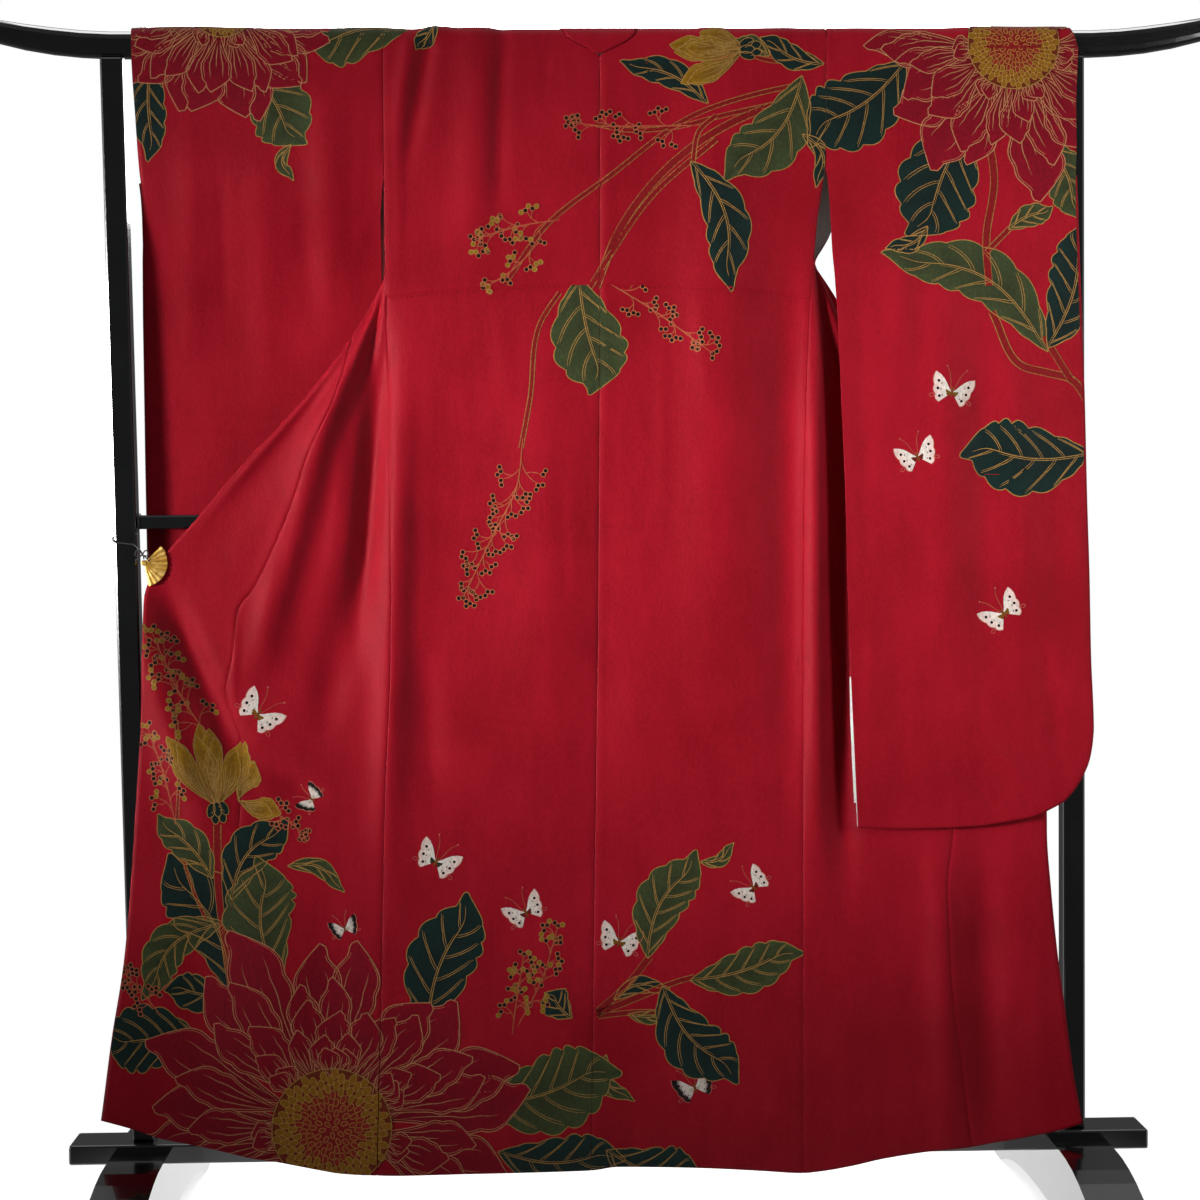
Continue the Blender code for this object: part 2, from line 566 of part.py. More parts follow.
def grid_into(shape, grid):
    """Adds a grid of points to a mesh as four-sided faces."""
    rows, columns = grid.shape[:2]
    made = [[shape.verts.new(point) for point in row] for row in grid.tolist()]
    for i in range(rows - 1):
        for j in range(columns - 1):
            shape.faces.new((made[i][j], made[i][j + 1], made[i + 1][j + 1], made[i + 1][j]))


def wall(name, patches, thick, finish, parts):
    """An open surface of one or more grids, welded at their shared edges, given its wall."""
    shape = bmesh.new()
    for grid in patches:
        grid_into(shape, grid)
    bmesh.ops.remove_doubles(shape, verts=shape.verts, dist=WELD)
    bmesh.ops.recalc_face_normals(shape, faces=shape.faces)
    mesh = bpy.data.meshes.new(name)
    shape.to_mesh(mesh)
    shape.free()
    made = link(name, mesh, finish, parts)
    mesh.shade_smooth()
    solid = made.modifiers.new("Wall", "SOLIDIFY")
    solid.thickness = thick
    solid.offset = 0.0
    solid.use_quality_normals = True
    return made


def loft(name, rings, finish, parts):
    """A closed body through a row of rings, with flat ends."""
    shape = bmesh.new()
    made = [[shape.verts.new(point) for point in ring] for ring in rings.tolist()]
    count = len(made[0])
    for a, b in zip(made, made[1:]):
        for j in range(count):
            k = (j + 1) % count
            shape.faces.new((a[j], a[k], b[k], b[j]))
    shape.faces.new(made[0][::-1])
    shape.faces.new(made[-1])
    bmesh.ops.recalc_face_normals(shape, faces=shape.faces)
    mesh = bpy.data.meshes.new(name)
    shape.to_mesh(mesh)
    shape.free()
    mesh.shade_smooth()
    return link(name, mesh, finish, parts)


def bevel(made, width, segments=2):
    rounded = made.modifiers.new("Rounded edges", "BEVEL")
    rounded.width = width
    rounded.segments = segments
    rounded.limit_method = "ANGLE"
    return made


def block(name, low, high, finish, parts, lean=0.0):
    """A box between two corners with rounded edges, whose top may stand off along X."""
    shape = bmesh.new()
    bmesh.ops.create_cube(shape, size=1.0)
    low, high = np.array(low), np.array(high)
    for vert in shape.verts:
        unit = np.array(vert.co) + 0.5
        place = low + unit * (high - low)
        place[0] += lean * unit[2]
        vert.co = place
    mesh = bpy.data.meshes.new(name)
    shape.to_mesh(mesh)
    shape.free()
    return bevel(link(name, mesh, finish, parts), EDGE)


def top_rail(finish, parts):
    """The rail: a rounded section that runs straight between the posts and lifts at its ends."""
    ends = table(
        "x rise half", (0.00, 0.0, 0.0185), (0.70, 0.0, 0.0185), (0.78, 0.006, 0.0185),
        (0.86, 0.020, 0.0160), (RAIL_HALF_LENGTH, 0.028, 0.0140),
    )
    right = np.array([0.0, 0.35, 0.70, 0.74, 0.78, 0.82, 0.86, RAIL_HALF_LENGTH - EDGE])
    x = np.concatenate([[-RAIL_HALF_LENGTH], -right[:0:-1], right, [RAIL_HALF_LENGTH]])
    shrink = np.where(np.abs(x) == RAIL_HALF_LENGTH, 0.85, 1.0)
    turn = (np.arange(RAIL_SIDES) + 0.5) * (2 * math.pi / RAIL_SIDES)
    section_y = RAIL_HALF_DEPTH * np.sign(np.cos(turn)) * np.abs(np.cos(turn)) ** 0.6
    section_z = np.sign(np.sin(turn)) * np.abs(np.sin(turn)) ** 0.6
    tall = (read(ends, "half", np.abs(x)) * shrink)[:, None]
    middle = (RAIL_MIDDLE + read(ends, "rise", np.abs(x)))[:, None]
    peak = np.abs(section_z).max()
    rings = np.stack(
        [
            np.repeat(x[:, None], RAIL_SIDES, 1),
            shrink[:, None] * section_y,
            middle + tall * section_z / peak,
        ],
        -1,
    )
    return loft("top_rail", rings, finish, parts)


def foot(side, finish, parts):
    """An arched foot from front to back, notched for the base rail: its outline, extruded."""
    reach, pad = FOOT_REACH, FOOT_PAD
    under = np.linspace(reach - pad, 0.0, 8)
    low = [(y, FOOT_ARCH * (1 - (y / (reach - pad)) ** 3.5)) for y in under]
    notch = BASE_HALF_DEPTH + EASE
    floor = BASE_TOP - BASE_THICK - EASE
    over = np.linspace(FOOT_FLAT, reach - 2 * EDGE, 8)
    high = [(y, FOOT_TOP - (y - FOOT_FLAT) ** 2 / FOOT_FALL) for y in over]
    toe = [(reach, high[-1][1] - 2 * EDGE), (reach, EDGE), (reach - EDGE, 0.0)]
    half = [(notch, floor), (notch, FOOT_TOP)] + high + toe + low
    outline = half + [(-y, z) for y, z in half[-2::-1]]
    curve = bpy.data.curves.new("foot_" + side, "CURVE")
    curve.dimensions = "2D"
    curve.fill_mode = "BOTH"
    curve.extrude = FOOT_HALF_WIDTH
    spline = curve.splines.new("POLY")
    spline.points.add(len(outline) - 1)
    for point, (y, z) in zip(spline.points, outline):
        point.co = (y, z, 0.0, 1.0)
    spline.use_cyclic_u = True
    curve.materials.append(finish)
    made = bpy.data.objects.new("foot_" + side, curve)
    made.matrix_world = Matrix(
        ((0, 0, 1, SIGN[side] * POST_X), (1, 0, 0, 0), (0, 1, 0, 0), (0, 0, 0, 1))
    )
    parts.objects.link(made)
    return made


def rack(finish, parts):
    top_rail(finish, parts)
    underside = RAIL_MIDDLE - RAIL_HALF_HEIGHT - EASE
    foot_of_post = BASE_TOP + EASE
    inner = {}
    for side, sign in SIGN.items():
        x, lean = sign * POST_X, sign * POST_LEAN[side]
        block(
            "post_" + side, (x - POST_HALF, -POST_HALF, foot_of_post),
            (x + POST_HALF, POST_HALF, underside), finish, parts, lean,
        )
        rise = (MID_RAIL_Z - MID_RAIL_HALF - foot_of_post) / (underside - foot_of_post)
        inner[side] = x + lean * rise - sign * (POST_HALF + EASE)
        foot(side, finish, parts)
    block(
        "mid_rail", (inner["left"], -MID_RAIL_HALF, MID_RAIL_Z - MID_RAIL_HALF),
        (inner["right"], MID_RAIL_HALF, MID_RAIL_Z + MID_RAIL_HALF), finish, parts,
    )
    block(
        "base_rail", (-BASE_HALF_LENGTH, -BASE_HALF_DEPTH, BASE_TOP - BASE_THICK),
        (BASE_HALF_LENGTH, BASE_HALF_DEPTH, BASE_TOP), finish, parts,
    )


def fan_grid(side, depth, pleat):
    """A fan about the knob: rays at even angles, every other one raised by the pleat."""
    place, sign = CLIP[side], SIGN[side]
    angles = np.linspace(FAN_TOP_ANGLE, FAN_LOW_ANGLE, 2 * FAN_PLEATS + 1)[:, None]
    radius = np.array([KNOB_RADIUS + EASE, FAN_RADIUS])[None, :]
    raised = pleat * (np.arange(2 * FAN_PLEATS + 1) % 2 - 0.5)[:, None] * radius / FAN_RADIUS
    x = place["x"] - sign * radius * np.cos(angles)
    return np.stack([x, depth - 2 * raised, place["z"] + radius * np.sin(angles)], -1)


def cord(name, points, finish, parts):
    """A thin round cord through a list of points."""
    curve = bpy.data.curves.new(name, "CURVE")
    curve.dimensions = "3D"
    curve.bevel_depth = CORD_RADIUS
    curve.bevel_resolution = 2
    curve.use_fill_caps = True
    spline = curve.splines.new("POLY")
    spline.points.add(len(points) - 1)
    for place, point in zip(spline.points, points):
        place.co = (*point, 1.0)
    curve.materials.append(finish)
    made = bpy.data.objects.new(name, curve)
    parts.objects.link(made)
    return made


def clip(side, metal, black, parts):
    """A fan clip: pleated front plate, plain back plate, knob, and the cord that ties the knob
    to the post and over the middle rail."""
    place, sign = CLIP[side], SIGN[side]
    cloth = place["cloth"]
    front = cloth - WALL / 2 - EASE - FAN_PLATE / 2 - FAN_PLEAT - FAN_OFF
    rear = cloth + COLLAR_SETBACK + COLLAR_WALL / 2 + EASE + FAN_PLATE / 2 + FAN_OFF
    wall("clip_fan_" + side, [fan_grid(side, front, FAN_PLEAT)], FAN_PLATE, metal, parts)
    wall("clip_back_" + side, [fan_grid(side, rear, 0.0)], FAN_PLATE, metal, parts)
    shape = bmesh.new()
    bmesh.ops.create_cone(
        shape, cap_ends=True, segments=16, radius1=KNOB_RADIUS, radius2=KNOB_RADIUS,
        depth=rear - front + KNOB_RADIUS,
    )
    turned = Matrix.Translation((place["x"], (front + rear) / 2, place["z"])) @ Matrix.Rotation(
        math.pi / 2, 4, "X"
    )
    shape.transform(turned)
    mesh = bpy.data.meshes.new("clip_knob_" + side)
    shape.to_mesh(mesh)
    shape.free()
    bevel(link("clip_knob_" + side, mesh, metal, parts), 0.0012)

    rise = (MID_RAIL_Z - BASE_TOP) / (RAIL_MIDDLE - RAIL_HALF_HEIGHT - BASE_TOP)
    post = sign * (POST_X + POST_LEAN[side] * rise)
    drop = post - sign * (POST_HALF + CORD_OFF + EASE)
    reach = EDGE + CORD_OFF
    start = place["z"] + KNOB_RADIUS + CORD_RADIUS + EASE
    points = [
        (place["x"] + sign * out, front + back, start + up) for out, back, up in CORD_LEAD
    ]
    # Round the post, climbing a little, with three points at each of its corners. The first
    # and last points of the ring are left out, because the cord comes and goes there.
    ring = []
    for number, (across, away) in enumerate(((-1, -1), (1, -1), (1, 1), (-1, 1))):
        for step in range(3):
            turn = math.radians(-180 + 90 * number + 45 * step)
            ring.append((
                post + sign * (across * (POST_HALF - EDGE) + reach * math.cos(turn)),
                away * (POST_HALF - EDGE) + reach * math.sin(turn),
                start + CORD_LEAD[-1][2] + CORD_CLIMB * (3 * number + step + 1),
            ))
    points += ring[2:-1]
    # Over the middle rail, and down its near side.
    for away, first in ((1, 0), (-1, 90)):
        for step in range(3):
            turn = math.radians(first + 45 * step)
            points.append((
                drop,
                away * (MID_RAIL_HALF - EDGE) + reach * math.cos(turn),
                MID_RAIL_Z + MID_RAIL_HALF - EDGE + reach * math.sin(turn),
            ))
    points.append((drop, -MID_RAIL_HALF - CORD_OFF, MID_RAIL_Z - MID_RAIL_HALF))
    points.append((drop, -POST_HALF, MID_RAIL_Z - 2 * MID_RAIL_HALF))
    points.append((drop, -POST_HALF - MID_RAIL_HALF, start + 6 * CORD_LEAD[1][2]))
    cord("clip_cord_" + side, points, black, parts)


def build():
    for old in list(bpy.data.objects):
        bpy.data.objects.remove(old, do_unlink=True)
    parts = bpy.data.collections.new("furisode_on_rack")
    bpy.context.scene.collection.children.link(parts)

    red_silk = material("Red crepe silk", (0.36, 0.006, 0.014), 0.62)
    pale_silk = material("Pale lining silk", (0.62, 0.58, 0.55), 0.60)
    lacquer = material("Black lacquer", (0.006, 0.007, 0.008), 0.14)
    gilt = material("Gilt metal", (0.62, 0.42, 0.14), 0.35, 1.0)
    black_cord = material("Black cord", (0.010, 0.010, 0.012), 0.70)

    for side in SIGN:
        wall("body_" + side, [body_grid(side)], WALL, red_silk, parts)
        wall("gore_" + side, [gore_grid(side)], WALL, red_silk, parts)
        wall("sleeve_" + side, sleeve_patches(side), WALL, red_silk, parts)
    wall("collar", [collar_grid()], COLLAR_WALL, red_silk, parts)
    wall("sleeve_lining_right", [lining_grid()], WALL, pale_silk, parts)
    rack(lacquer, parts)
    for side in SIGN:
        clip(side, gilt, black_cord, parts)


build()
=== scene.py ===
import math

import bmesh
import bpy
import numpy as np
from mathutils import Matrix, Vector

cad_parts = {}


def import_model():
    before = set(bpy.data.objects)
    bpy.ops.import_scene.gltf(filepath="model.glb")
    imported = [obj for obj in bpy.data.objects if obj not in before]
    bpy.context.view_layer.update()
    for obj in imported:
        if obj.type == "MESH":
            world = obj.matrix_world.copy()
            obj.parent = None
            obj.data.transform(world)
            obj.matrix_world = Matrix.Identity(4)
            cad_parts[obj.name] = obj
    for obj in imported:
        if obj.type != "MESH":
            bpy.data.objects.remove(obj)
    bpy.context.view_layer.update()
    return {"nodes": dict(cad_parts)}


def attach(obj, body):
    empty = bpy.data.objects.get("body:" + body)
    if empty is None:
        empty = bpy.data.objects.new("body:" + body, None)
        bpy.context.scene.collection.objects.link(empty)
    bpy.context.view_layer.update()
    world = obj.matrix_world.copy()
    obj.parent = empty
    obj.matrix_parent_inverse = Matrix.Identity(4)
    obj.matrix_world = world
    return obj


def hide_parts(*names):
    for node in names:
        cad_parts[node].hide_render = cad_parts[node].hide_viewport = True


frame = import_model()

# Sizes of the cloth and of the rail that it hangs on, as the solids have them, in metres.
WALL = 0.0014
COLLAR_WALL = 0.0018
SEAM_GAP = 0.00006
COLLAR_WIDTH = 0.055
COLLAR_FALL = 1.66
COLLAR_ROLL = 0.0015
COLLAR_SLANT = math.radians(53)
COLLAR_SETBACK = 0.003
COLLAR_LIFT = 0.0012
SIDE_SEAM_TOP = 1.388
SLEEVE_SEAM_END = 1.530
WRIST_END = 1.510
GORE_POINT = 1.292
HEM_LEVEL = 0.085
HEM_BLEND_TOP = 0.75
NEAR_TOP = -0.0205
NEAR_HEM = -0.0420
FAR_TOP = 0.0205
RAIL_MIDDLE = 1.7047
RAIL_HALF_HEIGHT = 0.0185
RAIL_EASE = 0.0008
ARCH_HALF = 0.0205
ARCH_RISE = 0.0302
ARCH_SPRING = RAIL_MIDDLE + RAIL_HALF_HEIGHT + RAIL_EASE + WALL / 2 - ARCH_RISE
CLOTH_TOP = 1.684
NECK_LEVEL = 1.70
SIGN = {"left": -1.0, "right": 1.0}


def table(columns, *rows):
    """A short table with named columns, put in order of its first one."""
    return dict(zip(columns.split(), np.array(sorted(rows), float).T))


def cubic(t, step, first, last, first_slope, last_slope):
    """The cubic from first to last over a step, t from 0 to 1, with a slope at each end."""
    return (
        (2 * t**3 - 3 * t**2 + 1) * first + (t**3 - 2 * t**2 + t) * step * first_slope
        + (3 * t**2 - 2 * t**3) * last + (t**3 - t**2) * step * last_slope
    )


def read(rows, column, at):
    """A column read at places of the first column: a cubic through the rows with the
    harmonic mean of the two slopes at each row, so that it never overshoots."""
    keys, values = next(iter(rows.values())), rows[column]
    slope = np.diff(values) / np.diff(keys)
    before = np.concatenate([slope[:1], slope])
    after = np.concatenate([slope, slope[-1:]])
    product = before * after
    total = np.where(np.abs(before + after) < 1e-12, 1.0, before + after)
    tangent = np.where(product > 0, 2 * product / total, 0.0)
    at = np.clip(np.asarray(at, float), keys[0], keys[-1])
    i = np.clip(np.searchsorted(keys, at) - 1, 0, len(keys) - 2)
    step = keys[i + 1] - keys[i]
    return cubic((at - keys[i]) / step, step, values[i], values[i + 1], tangent[i], tangent[i + 1])


CENTRE_SEAM = table(
    "z x", (1.72, -0.005), (1.35, -0.008), (0.91, -0.014), (0.48, -0.023), (HEM_LEVEL, -0.031)
)
SIDE_SEAM = {
    "left": table(
        "z x", (1.72, -0.3125), (1.48, -0.3130), (SIDE_SEAM_TOP, -0.3125), (1.20, -0.3101),
        (0.91, -0.3073), (0.77, -0.3114), (0.63, -0.3199), (0.49, -0.3242), (0.28, -0.3304),
        (HEM_LEVEL, -0.3365),
    ),
    "right": table(
        "z x", (1.72, 0.3180), (1.53, 0.3150), (1.48, 0.3060), (SIDE_SEAM_TOP, 0.2970),
        (1.35, 0.2930), (1.20, 0.2850), (1.05, 0.2815), (0.77, 0.2785), (HEM_LEVEL, 0.2740),
    ),
}
FRONT_SIDE = {
    "left": table(
        "z out far", (1.72, 0.000, 1.0), (1.53, 0.000, 1.0), (1.49, 0.000, 0.88),
        (1.46, 0.000, 0.66), (1.43, 0.000, 0.42), (1.41, 0.000, 0.22), (SIDE_SEAM_TOP, 0, 0),
        (1.30, 0, 0),
    ),
    "right": table(
        "z out far", (1.72, 0.000, 1.0), (1.60, 0.017, 1.0), (1.53, 0.030, 1.0),
        (1.48, 0.034, 0.85), (1.43, 0.021, 0.42), (1.41, 0.011, 0.22), (SIDE_SEAM_TOP, 0, 0),
        (1.30, 0, 0),
    ),
}
FRONT_EDGE = {
    "left": table(
        "z x y", (1.72, -0.083, 0.0205), (1.694, -0.088, 0.0205), (1.388, -0.305, 0.0020),
        (1.292, -0.360, -0.0080), (1.199, -0.4335, -0.0160), (1.102, -0.5246, -0.0235),
        (1.032, -0.5833, -0.0275), (0.987, -0.6233, -0.0295), (0.964, -0.6419, -0.0303),
        (0.918, -0.6575, -0.0309), (0.861, -0.6586, -0.0317), (0.747, -0.6641, -0.0332),
        (0.631, -0.6725, -0.0347), (0.510, -0.6809, -0.0363), (0.381, -0.6922, -0.0381),
        (0.241, -0.7112, -0.0400), (HEM_LEVEL, -0.7274, NEAR_HEM),
    ),
    "right": table(
        "z x y", (1.72, 0.078, 0.0205), (1.694, 0.083, 0.0205), (1.388, 0.302, 0.0020),
        (1.292, 0.366, -0.0080), (1.199, 0.436, -0.0160), (1.102, 0.508, -0.0235),
        (1.010, 0.577, -0.0285), (0.960, 0.613, -0.0304), (0.935, 0.630, -0.0307),
        (0.890, 0.634, -0.0313), (0.750, 0.629, -0.0331), (0.572, 0.6284, -0.0355),
        (0.481, 0.6338, -0.0367), (0.386, 0.6421, -0.0380), (0.288, 0.6533, -0.0393),
        (0.184, 0.6645, -0.0406), (HEM_LEVEL, 0.6780, NEAR_HEM),
    ),
}
GORE_SEAM = {
    "left": table(
        "z x", (GORE_POINT, -0.3587), (1.199, -0.3866), (1.127, -0.4212), (1.055, -0.4460),
        (0.935, -0.5015), (0.900, -0.5262), (0.840, -0.5332), (0.780, -0.5459), (0.750, -0.5365),
        (0.719, -0.5246), (0.656, -0.5239), (0.468, -0.5400), (0.323, -0.5514), (0.201, -0.5625),
        (HEM_LEVEL, -0.5710),
    ),
    "right": table(
        "z x", (GORE_POINT, 0.366), (1.199, 0.388), (1.127, 0.412), (1.000, 0.447), (0.850, 0.478),
        (0.720, 0.492), (0.578, 0.4927), (0.488, 0.4832), (0.352, 0.4880), (0.192, 0.5052),
        (HEM_LEVEL, 0.5182),
    ),
}
HEM = table(
    "x z", (-0.730, 0.1785), (-0.684, 0.165), (-0.641, 0.150), (-0.599, 0.141), (-0.557, 0.131),
    (-0.514, 0.1200), (-0.472, 0.1130), (-0.429, 0.104), (-0.386, 0.096), (-0.344, 0.0930),
    (-0.301, 0.0916), (-0.216, 0.0925), (-0.130, 0.0932), (-0.031, 0.0950), (0.007, 0.0995),
    (0.060, 0.0985), (0.128, 0.0960), (0.172, 0.0935), (0.215, 0.0905), (0.274, 0.0865),
    (0.301, 0.0888), (0.344, 0.0957), (0.388, 0.1051), (0.431, 0.1117), (0.474, 0.1168),
    (0.518, 0.1204), (0.561, 0.1270), (0.605, 0.135), (0.648, 0.1435), (0.680, 0.1530),
)
NECK = table(
    "arc half", (-0.0530, 0.0000), (-0.0440, 0.0180), (-0.0330, 0.0400), (-0.0240, 0.0500),
    (-0.0100, 0.0550), (0.0080, 0.0600), (0.0280, 0.0700), (0.0450, 0.0830),
)
GATHER = table(
    "z depth", (1.70, 0.0000), (1.62, 0.0030), (1.52, 0.0060), (1.45, 0.0050), (1.41, 0.0020),
    (1.38, 0.0014), (1.34, 0.0030), (1.26, 0.0045), (1.15, 0.0040), (1.00, 0.0025),
    (0.85, 0.0008), (0.75, 0.0000),
)
GATHERS = 2
SLEEVE = {
    "left": table(
        "z near_in near_out far_in far_out near_in_y near_out_y far_in_y far_out_y",
        (1.720, -0.3125, -0.667, -0.3125, -0.667, -0.0205, -0.0205, 0.0205, 0.0205),
        (1.694, -0.3128, -0.667, -0.3128, -0.667, -0.0205, -0.0205, 0.0205, 0.0205),
        (1.600, -0.3130, -0.664, -0.3130, -0.664, -0.0218, -0.0120, 0.0215, 0.0215),
        (1.530, -0.3130, -0.661, -0.3130, -0.661, -0.0226, -0.0050, 0.0220, 0.0222),
        (1.490, -0.3160, -0.657, -0.3040, -0.657, -0.0170, 0.0000, 0.0225, 0.0226),
        (1.460, -0.3190, -0.656, -0.3000, -0.656, -0.0070, 0.0035, 0.0230, 0.0232),
        (1.430, -0.3195, -0.656, -0.2990, -0.656, 0.0045, 0.0070, 0.0236, 0.0240),
        (1.400, -0.3195, -0.657, -0.2990, -0.657, 0.0120, 0.0095, 0.0245, 0.0250),
        (1.300, -0.3210, -0.658, -0.3130, -0.658, 0.0140, 0.0125, 0.0260, 0.0262),
        (1.150, -0.3230, -0.658, -0.3230, -0.658, 0.0145, 0.0145, 0.0270, 0.0272),
        (0.950, -0.3260, -0.657, -0.3260, -0.657, 0.0145, 0.0150, 0.0270, 0.0275),
        (0.700, -0.3300, -0.655, -0.3300, -0.655, 0.0140, 0.0150, 0.0265, 0.0270),
        (0.589, -0.3320, -0.654, -0.3320, -0.654, 0.0140, 0.0150, 0.0260, 0.0265),
    ),
    "right": table(
        "z near_in near_out far_in far_out near_in_y near_out_y far_in_y far_out_y",
        (1.720, 0.3180, 0.679, 0.3180, 0.660, -0.0205, -0.0205, 0.0205, 0.0205),
        (1.694, 0.3176, 0.678, 0.3176, 0.648, -0.0205, -0.0210, 0.0205, 0.0205),
        (1.600, 0.3161, 0.672, 0.3330, 0.646, -0.0218, -0.0330, 0.0215, -0.0060),
        (1.545, 0.3152, 0.671, 0.3440, 0.647, -0.0225, -0.0400, 0.0220, -0.0240),
        (1.530, 0.3150, 0.670, 0.3450, 0.652, -0.0227, -0.0415, 0.0210, -0.0275),
        (1.500, 0.3185, 0.669, 0.3500, 0.665, -0.0270, -0.0430, 0.0130, -0.0310),
        (1.450, 0.3205, 0.669, 0.3540, 0.669, -0.0350, -0.0450, -0.0060, -0.0340),
        (1.410, 0.3215, 0.670, 0.3560, 0.670, -0.0410, -0.0465, -0.0220, -0.0355),
        (1.370, 0.3245, 0.671, 0.3565, 0.671, -0.0450, -0.0480, -0.0330, -0.0370),
        (1.300, 0.3285, 0.673, 0.3560, 0.673, -0.0490, -0.0500, -0.0380, -0.0395),
        (1.200, 0.3320, 0.676, 0.3550, 0.676, -0.0520, -0.0520, -0.0410, -0.0420),
        (1.050, 0.3375, 0.679, 0.3510, 0.679, -0.0540, -0.0540, -0.0440, -0.0440),
        (0.940, 0.3396, 0.682, 0.3480, 0.682, -0.0550, -0.0550, -0.0455, -0.0455),
        (0.830, 0.3430, 0.684, 0.3450, 0.684, -0.0550, -0.0550, -0.0460, -0.0460),
        (0.720, 0.3475, 0.688, 0.3475, 0.688, -0.0550, -0.0550, -0.0460, -0.0460),
        (0.589, 0.3530, 0.688, 0.3530, 0.688, -0.0550, -0.0550, -0.0460, -0.0460),
    ),
}
SLEEVE_BOTTOM = 0.589
SLEEVE_SAG = 0.0025
SLEEVE_SWELL = 0.004
SLEEVE_CORNER = table(
    "up inward", (0.000, 0.160), (0.005, 0.125), (0.012, 0.085), (0.022, 0.0615), (0.035, 0.0393),
    (0.062, 0.0185), (0.090, 0.006), (0.115, 0.0015), (0.135, 0.000), (1.200, 0.000),
)
LINING_TOP, LINING_FOOT = 0.800, 0.62
LINING_SHOWS = 0.003
LINING_DEEP = 0.060
CLIP = {
    "left": {"x": -0.657, "z": 0.970, "cloth": -0.0303},
    "right": {"x": 0.645, "z": 0.941, "cloth": -0.0307},
}
# The levels at which the side seam is straight from one to the next, as in the solids.
SEAM_LEVELS = np.array([
    HEM_LEVEL, 0.16, 0.26, 0.38, 0.50, 0.64, 0.78, 0.92, 1.06, 1.20, 1.33, 1.45, SLEEVE_SEAM_END,
    1.57, 1.61, 1.66, ARCH_SPRING,
])

# Folds and creases. A row is a line from a top point to a foot point, with its half
# width and its height towards the viewer: a trough has a height below zero.
FOLDS = table(
    "tx tz fx fz half high",
    (-0.172, 1.764, -0.192, 1.368, 0.0280, 0.0060), (-0.141, 1.750, -0.155, 1.439, 0.0120, -0.0045),
    (-0.082, 1.297, -0.095, 0.656, 0.0550, 0.0060), (-0.006, 1.225, -0.015, 0.483, 0.0300, -0.0035),
    (0.160, 1.679, 0.161, 0.682, 0.0600, 0.0140), (0.258, 1.409, 0.252, 0.537, 0.0260, -0.0065),
    (0.295, 1.352, 0.295, 0.479, 0.0150, 0.0120), (0.346, 1.351, 0.338, 0.392, 0.0210, -0.0170),
    (-0.013, 0.752, 0.259, 0.755, 0.0340, 0.0050), (-0.270, 0.693, -0.013, 0.676, 0.0300, 0.0035),
    (-0.200, 0.485, -0.189, 0.170, 0.0450, 0.0040), (0.114, 0.539, 0.126, 0.165, 0.0500, 0.0040),
    (0.471, 0.578, 0.486, 0.073, 0.0220, 0.0100), (0.535, 0.577, 0.549, 0.072, 0.0240, -0.0110),
    (0.604, 0.533, 0.616, 0.143, 0.0300, 0.0040), (0.344, 0.536, 0.335, 0.148, 0.0350, 0.0040),
    (-0.352, 1.305, -0.515, 0.788, 0.0240, 0.0130), (-0.314, 1.340, -0.365, 0.787, 0.0200, -0.0200),
    (-0.363, 0.972, -0.415, 0.688, 0.0240, -0.0080), (-0.290, 1.199, -0.323, 0.487, 0.0240, 0.0130),
    (-0.262, 0.857, -0.251, 0.586, 0.0200, -0.0040), (-0.638, 0.946, -0.503, 0.632, 0.0190, -0.0150),
    (-0.536, 0.710, -0.398, 0.622, 0.0180, -0.0060), (-0.691, 0.960, -0.563, 0.547, 0.0260, 0.0140),
    (-0.588, 0.633, -0.484, 0.546, 0.0300, 0.0050), (-0.465, 0.973, -0.493, 0.788, 0.0220, 0.0030),
    (-0.484, 0.518, -0.479, 0.232, 0.0450, 0.0040), (-0.584, 0.490, -0.593, 0.205, 0.0340, -0.0040),
    (-0.399, 0.545, -0.403, 0.173, 0.0400, -0.0035),
)
CREASES = table(
    "tx tz fx fz half high",
    (-0.225, 1.820, -0.287, 1.496, 0.0110, -0.0060), (-0.259, 1.848, -0.295, 1.552, 0.0100, 0.0042),
    (-0.301, 1.028, -0.304, 0.630, 0.0080, -0.0008), (-0.291, 1.679, -0.295, 1.298, 0.0060, 0.0016),
    (0.005, 1.679, 0.000, 1.083, 0.0070, 0.0012), (-0.306, 1.340, -0.601, 1.002, 0.0090, 0.0036),
    (-0.210, 1.025, 0.247, 1.021, 0.0070, -0.0008), (-0.309, 0.772, -0.013, 0.728, 0.0060, -0.0014),
    (-0.299, 0.604, -0.021, 0.626, 0.0040, -0.0012), (-0.441, 0.614, -0.323, 0.593, 0.0050, -0.0024),
    (0.135, 1.352, 0.142, 1.167, 0.0120, 0.0016), (0.078, 1.338, 0.080, 0.968, 0.0100, 0.0010),
    (-0.528, 0.916, -0.536, 0.732, 0.0050, 0.0020), (-0.436, 1.100, -0.484, 0.859, 0.0120, -0.0018),
    (-0.371, 1.171, -0.401, 0.915, 0.0100, 0.0012), (0.052, 1.713, 0.080, 1.608, 0.0060, -0.0014),
    (-0.073, 1.713, -0.091, 1.622, 0.0060, -0.0014), (-0.150, 1.340, -0.140, 1.169, 0.0120, 0.0014),
    (-0.066, 1.169, -0.060, 0.855, 0.0100, -0.0010), (-0.250, 1.227, -0.263, 0.772, 0.0120, 0.0014),
)
